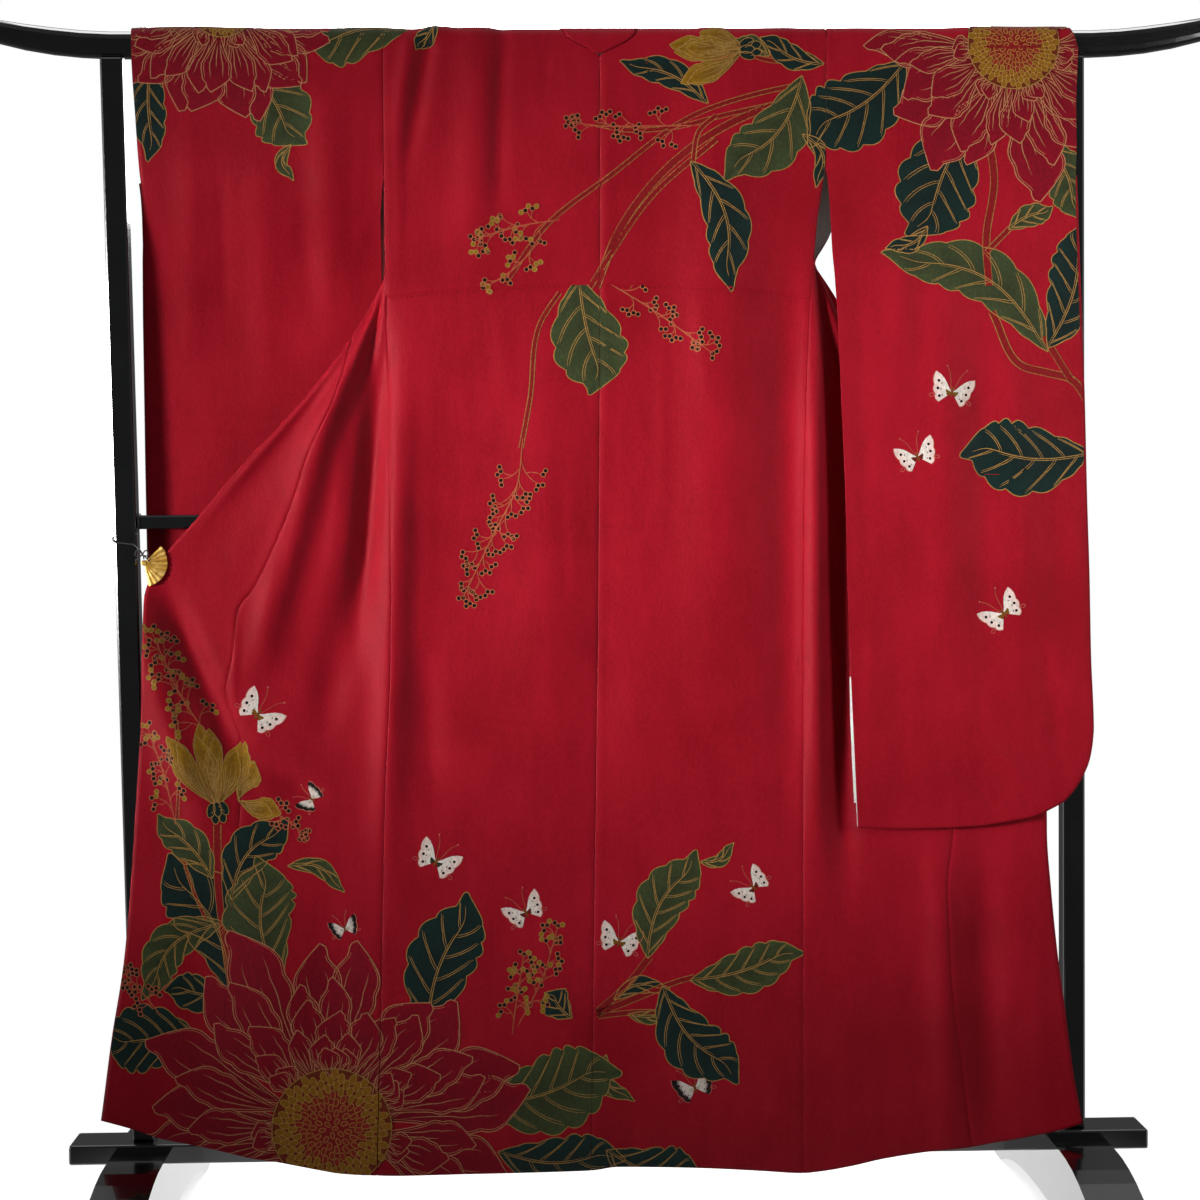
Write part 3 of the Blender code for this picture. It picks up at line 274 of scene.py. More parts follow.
SLEEVE_CREASES = {
    "left": table(
        "tx tz fx fz half high",
        (-0.657, 1.169, -0.453, 1.159, 0.0060, -0.0020), (-0.588, 1.601, -0.596, 1.203, 0.0220, 0.0040),
        (-0.546, 1.530, -0.543, 1.288, 0.0090, -0.0014), (-0.489, 1.558, -0.485, 1.173, 0.0260, 0.0030),
        (-0.429, 1.558, -0.423, 1.302, 0.0140, -0.0016), (-0.390, 1.686, -0.386, 1.273, 0.0280, 0.0070),
        (-0.327, 1.686, -0.323, 1.344, 0.0140, -0.0030),
    ),
    "right": table(
        "tx tz fx fz half high",
        (0.355, 1.504, 0.369, 0.852, 0.0140, -0.0036), (0.420, 1.602, 0.416, 1.165, 0.0200, 0.0045),
        (0.474, 1.405, 0.483, 0.766, 0.0280, 0.0050), (0.531, 1.334, 0.536, 0.679, 0.0180, -0.0030),
        (0.582, 1.277, 0.601, 0.765, 0.0220, 0.0034), (0.636, 1.050, 0.647, 0.850, 0.0140, -0.0024),
        (0.616, 0.850, 0.650, 0.649, 0.0140, -0.0034), (0.529, 0.708, 0.622, 0.633, 0.0100, 0.0024),
        (0.500, 0.665, 0.558, 0.605, 0.0080, -0.0018), (0.375, 0.966, 0.368, 0.624, 0.0100, 0.0028),
        (0.408, 0.852, 0.421, 0.623, 0.0120, -0.0018), (0.359, 1.094, 0.673, 1.081, 0.0040, -0.0010),
        (0.666, 1.078, 0.682, 0.764, 0.0100, 0.0030),
    ),
}
# The tuck sewn across the back: its height and how it sags to both sides, how deep its step
# is, and how far below it the step fades.
TUCK_LEVEL, TUCK_SAG = 1.3618, 0.19
TUCK_DEEP, TUCK_FADE = 0.0018, 0.014
# From the first of these levels to the second the fronts' folds come in, down to where the
# cloth is spread out beside the back. Above the last two the clip holds their edges flat.
SPREAD_ROWS, CLIPPED_ROWS = (1.40, 1.30), (0.90, 0.96)
# A seam's groove: its depth, and how far from the seam it starts.
DIP = {"deep": 0.0014, "wide": 0.0030}


def blend(low, high, at):
    """0 below low, 1 above high, and 3t^2 - 2t^3 between."""
    t = np.clip((np.asarray(at, float) - low) / (high - low), 0.0, 1.0)
    return t * t * (3 - 2 * t)


def bells(rows, x, z):
    """The height of all the rows at (x, z): each is high * exp(-(distance / half)^2) across
    its own line, grows over the first third of the line and fades over its last part."""
    x, z = np.broadcast_arrays(np.asarray(x, float), np.asarray(z, float))
    total = np.zeros(x.shape)
    for tx, tz, fx, fz, half, high in zip(*rows.values()):
        dx, dz = fx - tx, fz - tz
        t = ((x - tx) * dx + (z - tz) * dz) / (dx * dx + dz * dz)
        c = np.clip(t, 0, 1)
        away = np.hypot(x - tx - c * dx, z - tz - c * dz)
        end = blend(-0.1, 0.30, t) * (1 - blend(0.62, 1.05, t))
        total = total + high * end * np.exp(-((away / half) ** 2))
    return total


def arch_profile():
    """The arch over the rail, y = -h cos(a)^0.5 and z = spring + rise sin(a)^0.5, with its
    arc counted from the ridge."""
    turn = np.linspace(0.0, math.pi, 181)
    y = -ARCH_HALF * np.sign(np.cos(turn)) * np.abs(np.cos(turn)) ** 0.5
    z = ARCH_SPRING + ARCH_RISE * np.sin(turn) ** 0.5
    arc = np.concatenate([[0.0], np.cumsum(np.hypot(np.diff(y), np.diff(z)))])
    return arc - arc[-1] / 2, y, z


ARC, ARC_Y, ARC_Z = arch_profile()
ARC_END = ARC[-1]
ARCH_ROWS = np.linspace(-ARC_END, ARC_END, 25)
NECK_ROWS = np.concatenate([[-ARC_END - 0.0070, -ARC_END - 0.0035], ARCH_ROWS])


def over_rail(x, arc, lift):
    """Points on the arch, or a little over it; past its feet they run straight down."""
    x, arc, lift = np.broadcast_arrays(*(np.asarray(a, float) for a in (x, arc, lift)))
    held = np.clip(arc, -ARC_END, ARC_END)
    fall = np.abs(arc) - np.abs(held)
    y = np.interp(held, ARC, ARC_Y) * (1 + lift / ARCH_HALF)
    z = ARCH_SPRING + (np.interp(held, ARC, ARC_Z) - ARCH_SPRING) * (1 + lift / ARCH_RISE)
    return np.stack([x, y, z - fall], -1)


def seam_x(side, level):
    """A side seam's x at a level: straight from each of SEAM_LEVELS to the next."""
    return np.interp(level, SEAM_LEVELS, read(SIDE_SEAM[side], "x", SEAM_LEVELS))


def level_z(x, level):
    """The height of a row at x: level near the top, and following the hem near the foot."""
    share = 1.0 - np.clip((level - HEM_LEVEL) / (HEM_BLEND_TOP - HEM_LEVEL), 0.0, 1.0)
    return level + (read(HEM, "z", x) - HEM_LEVEL) * share**2


def z_level(x, z):
    """The level whose row passes a point: level_z solved by repeated correction."""
    z = np.asarray(z, float)
    rise = read(HEM, "z", x) - HEM_LEVEL
    level = z + 0.0 * rise
    for _ in range(30):
        share = 1.0 - np.clip((level - HEM_LEVEL) / (HEM_BLEND_TOP - HEM_LEVEL), 0.0, 1.0)
        level = z - rise * share**2
    return level


def near_plane(z):
    """Depth of the near cloth with no folds: it leans forward a little, to clear the base."""
    share = (ARCH_SPRING - z) / (ARCH_SPRING - HEM_LEVEL)
    return NEAR_TOP + (NEAR_HEM - NEAR_TOP) * share


def side_point(side, level):
    """A front's side edge: x is the seam's plus the table's out, and y goes from the near
    cloth's depth to the far cloth's by the table's far."""
    sign = SIGN[side]
    out, far = read(FRONT_SIDE[side], "out", level), read(FRONT_SIDE[side], "far", level)
    x = seam_x(side, level) + sign * out
    z = level_z(x, level)
    y = near_plane(z) - bells(FOLDS, x, z) * (1 - far)
    return np.stack([x, y + (FAR_TOP - y) * far, z], -1)


def edge_point(side, level):
    """A front's free edge: x and y are its table's at a level, and z is that row's there."""
    x = read(FRONT_EDGE[side], "x", level)
    return np.stack([x, read(FRONT_EDGE[side], "y", level), level_z(x, level)], -1)


def front_surface(side, level, share, lift=0.0):
    """Points of a drawn-out front: a straight row from the side edge, share 0, to the free
    edge, share 1, with its gathers, folds and creases square to it on the outer face."""
    level, share = np.broadcast_arrays(np.asarray(level, float), np.asarray(share, float))
    start, end = side_point(side, level), edge_point(side, level)
    row = end - start
    flat = np.hypot(row[..., 0], row[..., 1])
    outer = np.stack([-SIGN[side] * -row[..., 1], -SIGN[side] * row[..., 0]], -1) / flat[..., None]
    square = np.abs(row[..., 1]) / flat
    start = start.copy()
    start[..., 0] += SIGN[side] * (1.5 * SEAM_GAP + 0.6 * WALL * square)
    points = start + (end - start) * share[..., None]
    points[..., 2] = level_z(points[..., 0], level)
    wave = read(GATHER, "depth", level) * np.sin(math.pi * share) * np.sin(
        2 * math.pi * GATHERS * share
    )
    spread = blend(*SPREAD_ROWS, level)
    bell = bells(FOLDS, points[..., 0], points[..., 2])
    start_bell = bells(FOLDS, start[..., 0], start[..., 2])
    wave = wave + spread * (bell - start_bell * (1 - share))
    shut = 1 - blend(0.93, 1.0, share) * blend(*CLIPPED_ROWS, level)
    crease = bells(CREASES, points[..., 0], points[..., 2])
    wave = wave + spread * shut * blend(0.0, 0.05, share) * crease + lift
    wide = np.hypot(row[..., 0], row[..., 1])
    gore = np.where(level < GORE_POINT, share - gore_share(side, level), 1.0)
    wave = wave - dip(np.minimum(share, np.abs(gore)) * wide)
    points[..., 0] += outer[..., 0] * wave
    points[..., 1] += outer[..., 1] * wave
    return points


def gore_share(side, level):
    """The share of a front's width at which its gore seam lies: 1 above the gore's point."""
    start, end = seam_x(side, level), read(FRONT_EDGE[side], "x", level)
    seam = read(GORE_SEAM[side], "x", level)
    return np.where(level >= GORE_POINT, 1.0, (seam - start) / (end - start))


def dip(away):
    """The groove at a seam: deep * (1 - away / wide)^2."""
    return DIP["deep"] * (1 - np.clip(np.abs(away) / DIP["wide"], 0, 1)) ** 2


def tuck_z(x):
    """The height of the sewn tuck, highest at 20 mm left of the middle."""
    return TUCK_LEVEL - TUCK_SAG * (x + 0.02) ** 2


def tuck(x, z):
    """The step under the sewn tuck, deep * exp(-(distance below it) / fade)."""
    below = tuck_z(x) - z
    return TUCK_DEEP * blend(0.0, 0.0015, below) * np.exp(-np.clip(below, 0, 1) / TUCK_FADE)


def back_surface(x, z, lift=0.0):
    """The back: y = plane(z) - folds - creases - lift, stepped at the tuck, grooved at seams."""
    crease = bells(CREASES, x, z) * back_edge(x, z) - tuck(x, z)
    near_seam = np.minimum(*(np.abs(x - seam_x(side, z)) for side in SIGN))
    groove = dip(np.minimum(near_seam, np.abs(x - read(CENTRE_SEAM, "x", z))))
    y = near_plane(z) - bells(FOLDS, x, z) - crease - lift + groove
    return np.stack(np.broadcast_arrays(x, y, z), -1)


def arch_lift(x, arc):
    """How far the cloth stands off the arch: puckers on top, creases at its near foot, and
    the grooves of the seams."""
    pucker = rail_lift(x) * blend(ARC_END, 0.3 * ARC_END, np.abs(arc))
    near = blend(-0.45 * ARC_END, -ARC_END, arc) * back_edge(x, ARCH_SPRING)
    fold = bells(FOLDS, x, ARCH_SPRING + 0 * x) * blend(0.4 * ARC_END, -ARC_END, arc)
    crease = fold + bells(CREASES, x, ARCH_SPRING + 0 * x) * near
    near_seam = np.minimum(*(np.abs(x - seam_x(side, NECK_LEVEL)) for side in SIGN))
    return pucker + crease - 0.6 * dip(near_seam)


def back_edge(x, z):
    """Creases of the back die out at its side seams, where the fronts start."""
    room = np.minimum(x - seam_x("left", z), seam_x("right", z) - x)
    return blend(0.0, 0.006, room)


def steps(*levels, near=0.0065):
    """Levels from each to the next in even steps of about the given size."""
    rows = [np.linspace(a, b, max(1, math.ceil(abs(a - b) / near)) + 1)[:-1]
            for a, b in zip(levels, levels[1:])]
    return np.concatenate(rows + [[levels[-1]]])


# Between these two levels the rows are close, for the step of the tuck.
TUCK_ROWS = (1.366, 1.334)
FRONT_LEVELS = np.concatenate([
    steps(CLOTH_TOP, SLEEVE_SEAM_END, SIDE_SEAM_TOP, TUCK_ROWS[0])[:-1], steps(*TUCK_ROWS, near=0.0016),
    steps(TUCK_ROWS[1], GORE_POINT, 0.98, 0.90, 0.78, 0.54, HEM_LEVEL)[1:],
])
BODY_COLUMNS = 48


def columns(count, both=True):
    """Even columns from 0 to 1, with three narrow ones more at each seamed edge."""
    start = np.array([0.0, 0.0016, 0.0034, 0.0065])
    end = 1 - start[::-1] if both else np.array([1.0])
    return np.concatenate([start, np.linspace(start[-1], end[0], count)[1:-1], end])


def body_patches(side):
    """A body panel: the back from hem to rail, the shoulder over it, and the front down to
    the hem, as one grid whose columns run from the centre or free edge to the side."""
    across = columns(BODY_COLUMNS)[None, :]
    levels = FRONT_LEVELS[::-1][:, None]
    inner = read(CENTRE_SEAM, "x", levels) + SIGN[side] * SEAM_GAP / 2
    x = inner + (seam_x(side, levels) - inner) * across
    back = back_surface(x, level_z(x, levels))
    arcs = NECK_ROWS[:, None]
    inner = read(CENTRE_SEAM, "x", NECK_LEVEL) + SIGN[side] * (SEAM_GAP / 2 + read(NECK, "half", arcs))
    x = inner + (seam_x(side, ARCH_SPRING) - inner) * across
    arch = over_rail(x, arcs, arch_lift(x, arcs))
    levels = FRONT_LEVELS[:, None]
    front = front_surface(side, levels, gore_share(side, levels) * across[:, ::-1])
    return [np.concatenate([back, arch, front])]


RAIL_LIFT = table(
    "x up", (-0.70, 0.0002), (-0.60, 0.0030), (-0.52, 0.0010), (-0.43, 0.0004), (-0.33, 0.0022),
    (-0.27, 0.0004), (-0.235, 0.0042), (-0.20, 0.0012), (-0.10, 0.0), (0.0, 0.0), (0.08, 0.0008),
    (0.12, 0.0), (0.155, 0.0018), (0.18, 0.0002), (0.26, 0.0014), (0.30, 0.0002), (0.36, 0.0010),
    (0.46, 0.0002), (0.52, 0.0015), (0.60, 0.0003), (0.68, 0.0012),
)


def rail_lift(x):
    """How far the cloth stands up off the rail's top: small uneven puckers."""
    return read(RAIL_LIFT, "up", x)


def gore_patches(side):
    """A gore: the front's own surface, from the gore seam to the free edge."""
    levels = FRONT_LEVELS[FRONT_LEVELS < GORE_POINT - 0.004][:, None]
    seam = gore_share(side, levels)
    width = np.abs(read(FRONT_EDGE[side], "x", levels) - seam_x(side, levels))
    seam = seam + SEAM_GAP / width
    return [front_surface(side, levels, seam + (1 - seam) * columns(26, False)[None, :])]


def collar_half(side):
    """Half of the collar: over the rail both its edges lie on the arch, and lower down the
    band is straight, behind the front's edge and slanting towards the middle. It rolls a
    little: its middle stands out by a sine across its width."""
    sign = SIGN[side]
    centre = read(CENTRE_SEAM, "x", NECK_LEVEL)
    half = read(NECK, "half", NECK_ROWS)
    lean = COLLAR_SLANT * blend(0.0, half.max(), half)
    edge_x, edge_arc = half - 3 * SEAM_GAP, NECK_ROWS.copy()
    edge_x[0], edge_arc[0] = 0.0, NECK_ROWS[0] + 1.5 * SEAM_GAP
    inner_x, inner_arc = edge_x - COLLAR_WIDTH * np.sin(lean), edge_arc + COLLAR_WIDTH * np.cos(lean)
    across = np.linspace(0.0, 1.0, 12)[None, :]
    neck = over_rail(
        centre + sign * (edge_x[:, None] + (inner_x - edge_x)[:, None] * across),
        edge_arc[:, None] + (inner_arc - edge_arc)[:, None] * across,
        COLLAR_LIFT,
    )
    levels = steps(COLLAR_FALL, SLEEVE_SEAM_END, 1.25, CLIP[side]["z"] + 0.012, near=0.012)
    edge = edge_point(side, levels)
    down = np.array([-sign * math.sin(COLLAR_SLANT), 0.0, -math.cos(COLLAR_SLANT)])
    edge[:, 1] += COLLAR_SETBACK * blend(COLLAR_FALL, 1.50, levels)
    edge[:, 0] -= sign * 3 * SEAM_GAP
    run = edge[:, None, :] + down * COLLAR_WIDTH * across[..., None]
    run[..., 1] += COLLAR_ROLL * np.sin(math.pi * across) * blend(COLLAR_FALL, 1.60, levels)[:, None]
    return np.concatenate([neck, run])


def collar_patches():
    """Both halves as one grid, which runs from the left end up round the neck to the right."""
    left, right = collar_half("left"), collar_half("right")
    return [np.concatenate([left[::-1], right[1:]])]


# Below this height a sleeve's rows sag, and are closer towards its round corner.
SAG_TOP = 0.74
SLEEVE_ROWS = np.concatenate([
    steps(CLOTH_TOP, SLEEVE_SEAM_END, WRIST_END, SAG_TOP), steps(0.733, 0.63, near=0.005),
    steps(0.627, SLEEVE_BOTTOM, near=0.0025),
])
SLEEVE_COLUMNS = 54


def sleeve_frame(side, layer, level):
    """(inner x, outer x, inner y, outer y) of a layer at a level, corner drawn in."""
    rows, sign = SLEEVE[side], SIGN[side]
    inner = read(rows, layer + "_in", level)
    held = np.maximum(level, SLEEVE_SEAM_END)
    seam = seam_x(side, held) if layer == "near" else side_point(side, held)[..., 0]
    gap = sign * SEAM_GAP * (1.0 if layer == "near" else 2.5)
    inner = np.where(level >= SLEEVE_SEAM_END, seam + gap, inner + sign * SEAM_GAP)
    inward = sign * read(SLEEVE_CORNER, "inward", level - SLEEVE_BOTTOM)
    outer = read(rows, layer + "_out", level) - inward
    return inner, outer, read(rows, layer + "_in_y", level), read(rows, layer + "_out_y", level)


def sleeve_surface(side, layer, level, across, lift=0.0):
    """A layer of a sleeve: x is even across, y goes from its inner to its outer depth as
    across^1.5, and the creases stand towards the outside."""
    inner, outer, y_in, y_out = sleeve_frame(side, layer, level)
    x = inner + (outer - inner) * across
    sag = SLEEVE_SAG * blend(SAG_TOP, SLEEVE_BOTTOM, level) * np.sin(math.pi * across)
    facing = -1.0 if layer == "near" else 1.0
    soft = np.sin(math.pi * np.clip(across, 0, 1)) ** 0.6 * blend(1.69, 1.60, level)
    crease = bells(SLEEVE_CREASES[side], x, level) * soft * (1.0 if layer == "near" else 0.6)
    groove = dip(x - inner) * blend(SLEEVE_SEAM_END, SLEEVE_SEAM_END + 0.015, level)
    y = y_in + (y_out - y_in) * across**1.5 + facing * (crease + lift - groove)
    return np.stack(np.broadcast_arrays(x, y, level - sag), -1)


def round_edge(near, far, outward):
    """A half ellipse from each near point to its far point, swelling a little outwards."""
    middle, half = (near + far) / 2, (near - far) / 2
    swell = np.minimum(np.linalg.norm(half, axis=-1), SLEEVE_SWELL)[..., None] * outward
    turn = np.linspace(0.0, math.pi, 9)[:, None, None]
    return middle + half * np.cos(turn) + swell * np.sin(turn)


def headings(path):
    """Unit vectors along a path."""
    run = np.gradient(path, axis=0)
    return run / np.maximum(np.linalg.norm(run, axis=1), 1e-9)[:, None]


def left_of(run):
    """Each flat vector, turned a quarter to its left."""
    return np.stack([-run[:, 1], run[:, 0]], -1)


def outward_of(line, way):
    """Unit vectors square to a line in the X-Z plane, on its right where way is 1."""
    run = headings(line[:, [0, 2]])
    return np.stack([way * run[:, 1], np.zeros(len(run)), -way * run[:, 0]], -1)


def sleeve_patches(side):
    """A sleeve's bag: its near and far layers, the arch that joins them over the rail, and a
    round edge between them from the wrist's end down and along the bottom."""
    levels = np.concatenate([[ARCH_SPRING], SLEEVE_ROWS])[:, None]
    across = columns(SLEEVE_COLUMNS, False)[None, :]
    near = sleeve_surface(side, "near", levels, across)
    far = sleeve_surface(side, "far", levels, across)
    first = 1 + int(np.argmin(np.abs(SLEEVE_ROWS - WRIST_END)))
    near_line = np.concatenate([near[first:, -1], near[-1, -2::-1]])
    far_line = np.concatenate([far[first:, -1], far[-1, -2::-1]])
    outward = outward_of((near_line + far_line) / 2, -SIGN[side])
    arcs = ARCH_ROWS[:, None]
    share = (arcs + ARC_END) / (2 * ARC_END)
    x = near[0, :, 0] + (far[0, :, 0] - near[0, :, 0]) * share
    ridge = over_rail(x, arcs, arch_lift(x, arcs))
    near[0], far[0] = ridge[0], ridge[-1]
    return [near, far, ridge, round_edge(near_line, far_line, outward)]


def lining_patches():
    """The strip of lining: even rows and columns, flat inside the right sleeve's far layer."""
    levels = steps(LINING_TOP, LINING_FOOT, near=0.01)[:, None]
    across = np.linspace(0.0, 1.0, 9)[None, :]
    rows = SLEEVE["right"]
    show = LINING_SHOWS * blend(LINING_TOP + 0.05, LINING_TOP - 0.08, levels)
    start = read(rows, "near_in", levels) + SEAM_GAP - show
    y = read(rows, "far_in_y", levels) - WALL - SEAM_GAP
    return [np.stack(np.broadcast_arrays(start + LINING_DEEP * across, y, levels), -1)]


# The painted pattern. Every motif is a formula drawn flat, in metres along the cloth:
# x across, and s up the cloth, which goes on over the rail above ARCH_SPRING. Each one adds
# grids of points with a dye for each point. Then the grids are laid on the cloth.
TEAL, OLIVE = (15, 36, 32), (58, 66, 38)
GOLD, PALE, OCHRE, DARK = (176, 134, 70), (200, 142, 98), (150, 112, 22), (26, 14, 12)
CRIMSON, PLUM, WHITE = (148, 6, 32), (116, 2, 24), (240, 231, 220)
# How far the dye lies off the cloth, each layer over the last, and a line over its layer.
DYE_LIFT, LAYER_LIFT, LINE_LIFT = 0.00030, 0.00003, 0.00006
# Widths of the drawn lines: a leaf's edge, a petal's edge, a vein, and a line beside another.
BOLD, EDGE, VEIN, THIN = 0.0013, 0.0012, 0.0009, 0.0008
# Rows of points to each lobe of a leaf, and how far in a petal's second outline lies.
LOBE_ROWS, INSET = 8, 0.0034
BERRY = 0.0034
SEEDS, SMALL_PETALS = 150, 16
GOLDEN_ANGLE = 2.39996


def grid_faces(first, rows, columns):
    """The quads of a grid whose points are numbered row by row from first."""
    index = first + np.arange(rows * columns).reshape(rows, columns)
    quads = [index[:-1, :-1], index[:-1, 1:], index[1:, 1:], index[1:, :-1]]
    return np.stack(quads, -1).reshape(-1, 4)


def heading(angle):
    return np.array([math.cos(angle), math.sin(angle)])


def turned(centre, x, y, angle):
    """Points (x, y), turned by an angle and moved to a centre."""
    c, s = math.cos(angle), math.sin(angle)
    return np.stack([centre[0] + c * x - s * y, centre[1] + s * x + c * y], -1)


def disc(steps):
    """A square grid of points, -1 to 1, pressed to a round one."""
    u, v = np.meshgrid(np.linspace(-1, 1, steps), np.linspace(-1, 1, steps))
    return u * np.sqrt(1 - v * v / 2), v * np.sqrt(1 - u * u / 2)


def between(row, values):
    """A path's values, in one column or more, read between its rows."""
    rows = np.arange(len(values))
    if values.ndim == 1:
        return np.interp(row, rows, values)
    return np.stack([np.interp(row, rows, column) for column in values.T], -1)


class Drawing:
    """The grids of one group of motifs."""

    def __init__(self):
        self.points, self.dyes, self.lifts, self.faces, self.count = [], [], [], [], 0
        self.layer = 0

    def grid(self, points, dye, up=0.0):
        """Adds a grid of points (rows, columns, 2) with their dyes, at its layer's lift."""
        rows, columns = points.shape[:2]
        self.faces.append(grid_faces(self.count, rows, columns))
        self.points.append(points.reshape(-1, 2))
        self.dyes.append(np.broadcast_to(np.asarray(dye, float), (rows, columns, 3)).reshape(-1, 3))
        self.lifts.append(np.full(rows * columns, DYE_LIFT + LAYER_LIFT * self.layer + up))
        self.count += rows * columns

    def line(self, path, width, dye, taper=0.0):
        """A ribbon along a path, narrowing to the share taper at both its ends."""
        t = np.linspace(0, 1, len(path))
        half = width / 2 * (1 - taper * np.abs(2 * t - 1) ** 3)
        square = left_of(headings(path)) * half[:, None]
        self.grid(np.stack([path - square, path + square], 1), dye, LINE_LIFT)

    def dot(self, centre, across, tall, turn, dye, up=0.0, steps=4):
        """A filled ellipse."""
        x, y = disc(steps)
        self.grid(turned(centre, x * across, y * tall, turn), dye, up)

    def ring(self, centre, across, tall, turn, width, dye, steps=13):
        """The outline of an ellipse."""
        a = np.linspace(0, 2 * math.pi, steps)
        self.line(turned(centre, np.cos(a) * across, np.sin(a) * tall, turn), width, dye)


def bow(start, end, bend, count):
    """Points from start to end on a line that bows to its left by bend times its length, the
    unit vectors to its left, and those along it."""
    start, end = np.array(start, float), np.array(end, float)
    t = np.linspace(0, 1, count)[:, None]
    run = end - start
    left = np.array([-run[1], run[0]])
    path = start + run * t + left * bend * np.sin(math.pi * t)
    along = headings(path)
    return path, left_of(along), along


def smooth(points, count):
    """A smooth curve through points: each coordinate is a cubic in the length so far."""
    points = np.array(points, float)
    far = np.concatenate([[0], np.cumsum(np.linalg.norm(np.diff(points, axis=0), axis=1))])
    at = np.linspace(0, far[-1], count)
    slope = np.gradient(points, far, axis=0)
    i = np.clip(np.searchsorted(far, at) - 1, 0, len(far) - 2)
    step = (far[i + 1] - far[i])[:, None]
    return cubic((at - far[i])[:, None] / step, step, points[i], points[i + 1], slope[i], slope[i + 1])


def hooked(path, square, side, u, first):
    """A path whose tip turns off to its left by side * s^2: s eases from 0 at u = first to 1."""
    return path + square * (side * blend(first, 1.0, u) ** 2)[:, None]


def strip(path, square, wide, v):
    """A grid across a path: each row goes to the left by its half width times v."""
    return path[:, None] + square[:, None] * (wide[:, None] * v)[..., None]


def tinted(first, last, share):
    """Dyes from the first to the last by a share for each point."""
    first, last = np.array(first, float), np.array(last, float)
    return first + (last - first) * share[..., None]


def leaf(draw, start, end, half, bend, teeth, tone):
    """A leaf along a bowed midrib with a hooked tip. Its half width is
    half * sin(pi u^0.8)^0.85, notched by |sin| lobes; its rows slant forward like its veins."""
    count = LOBE_ROWS * teeth + 1
    mid, square, along = bow(start, end, bend, count)
    u = np.linspace(0, 1, count)
    mid = hooked(mid, square, math.copysign(0.45 * half, bend), u, 0.74)
    body = np.sin(math.pi * np.clip(u, 0, 1) ** 0.80) ** 0.85
    lobe = 0.84 + 0.16 * np.abs(np.sin(math.pi * (u * teeth + 0.15))) ** 0.7
    wide = half * body * np.where((u > 0.08) & (u < 0.96), lobe, 0.9)
    v = np.linspace(-1, 1, 2 * max(3, round(half / 0.006)) + 1)
    slant = 0.60 * half * body
    lean = slant[:, None] * np.abs(v) ** 1.3
    sheet = strip(mid, square, wide, v) + along[:, None] * lean[..., None]
    green, deepest = ((TEAL, 0.62), (OLIVE, 0.72))[tone]
    lobes = np.sin(math.pi * u * teeth)[:, None] ** 2
    share = np.clip(0.35 + 0.5 * np.abs(v) + 0.25 * lobes, 0, 1)
    draw.grid(sheet, tinted(np.array(green) * deepest, np.array(green) * 1.12, share))
    for k in (0, -1):
        draw.line(sheet[:, k], BOLD, GOLD)
    draw.line(mid[: int(0.92 * count)], EDGE, GOLD, 0.5)
    draw.line((mid + square * 0.0026)[: int(0.75 * count)], VEIN, GOLD, 0.7)
    for k in range(teeth):
        for way in (-1, 1):
            first = 2 + LOBE_ROWS * k + (3 if way > 0 else 0)
            if first + 7 >= count:
                continue
            for off in (0, 1):
                reach = np.linspace(0, 0.93 - 0.08 * off, 7)
                row = first + 0.9 * off + 5.2 * reach**1.3
                aside = between(row, square) * (way * between(row, wide) * reach)[:, None]
                ahead = between(row, along) * (between(row, slant) * reach**1.3)[:, None]
                draw.line(between(row, mid) + aside + ahead, VEIN, GOLD, 0.55)


def petal(draw, start, end, half, bend, fill=(CRIMSON, PLUM), edge=PALE, streaks=3):
    """A petal: its half width is half * sin(pi u^1.6)^0.8, scalloped over its outer half, and
    its tip hooks to one side. It has a double outline, and streaks that touch neither end."""
    count = max(14, int(np.hypot(end[0] - start[0], end[1] - start[1]) / 0.006))
    mid, square, _ = bow(start, end, bend, count)
    u = np.linspace(0, 1, count)
    mid = hooked(mid, square, math.copysign(0.55 * half, bend), u, 0.78)
    scallop = 1 + 0.14 * np.abs(np.sin(4.5 * math.pi * u)) * blend(0.40, 0.55, u)
    wide = half * np.sin(math.pi * u**1.6) ** 0.8 * scallop
    v = np.linspace(-1, 1, 2 * max(2, round(half / 0.0055)) + 1)
    sheet = strip(mid, square, wide, v)
    outer, inner = fill
    draw.layer += 1
    draw.grid(sheet, tinted(inner, outer, np.clip(0.15 + 0.55 * u[:, None] + 0.30 * np.abs(v), 0, 1)))
    second = np.maximum(wide - INSET, 0)
    for way, column in ((-1, 0), (1, -1)):
        draw.line(sheet[:, column], EDGE, edge)
        draw.line((mid + square * (way * second)[:, None])[3:-3], THIN, edge, 0.4)
    for k in range(streaks):
        v = (k + 0.5) / streaks * 1.3 - 0.65
        first, last = int(count * (0.16 + 0.10 * (k % 2))), int(count * (0.82 - 0.16 * (k % 2)))
        path = mid + square * (wide * v)[:, None]
        draw.line(path[first:last], BOLD, np.array(edge) * 0.94, 0.9)


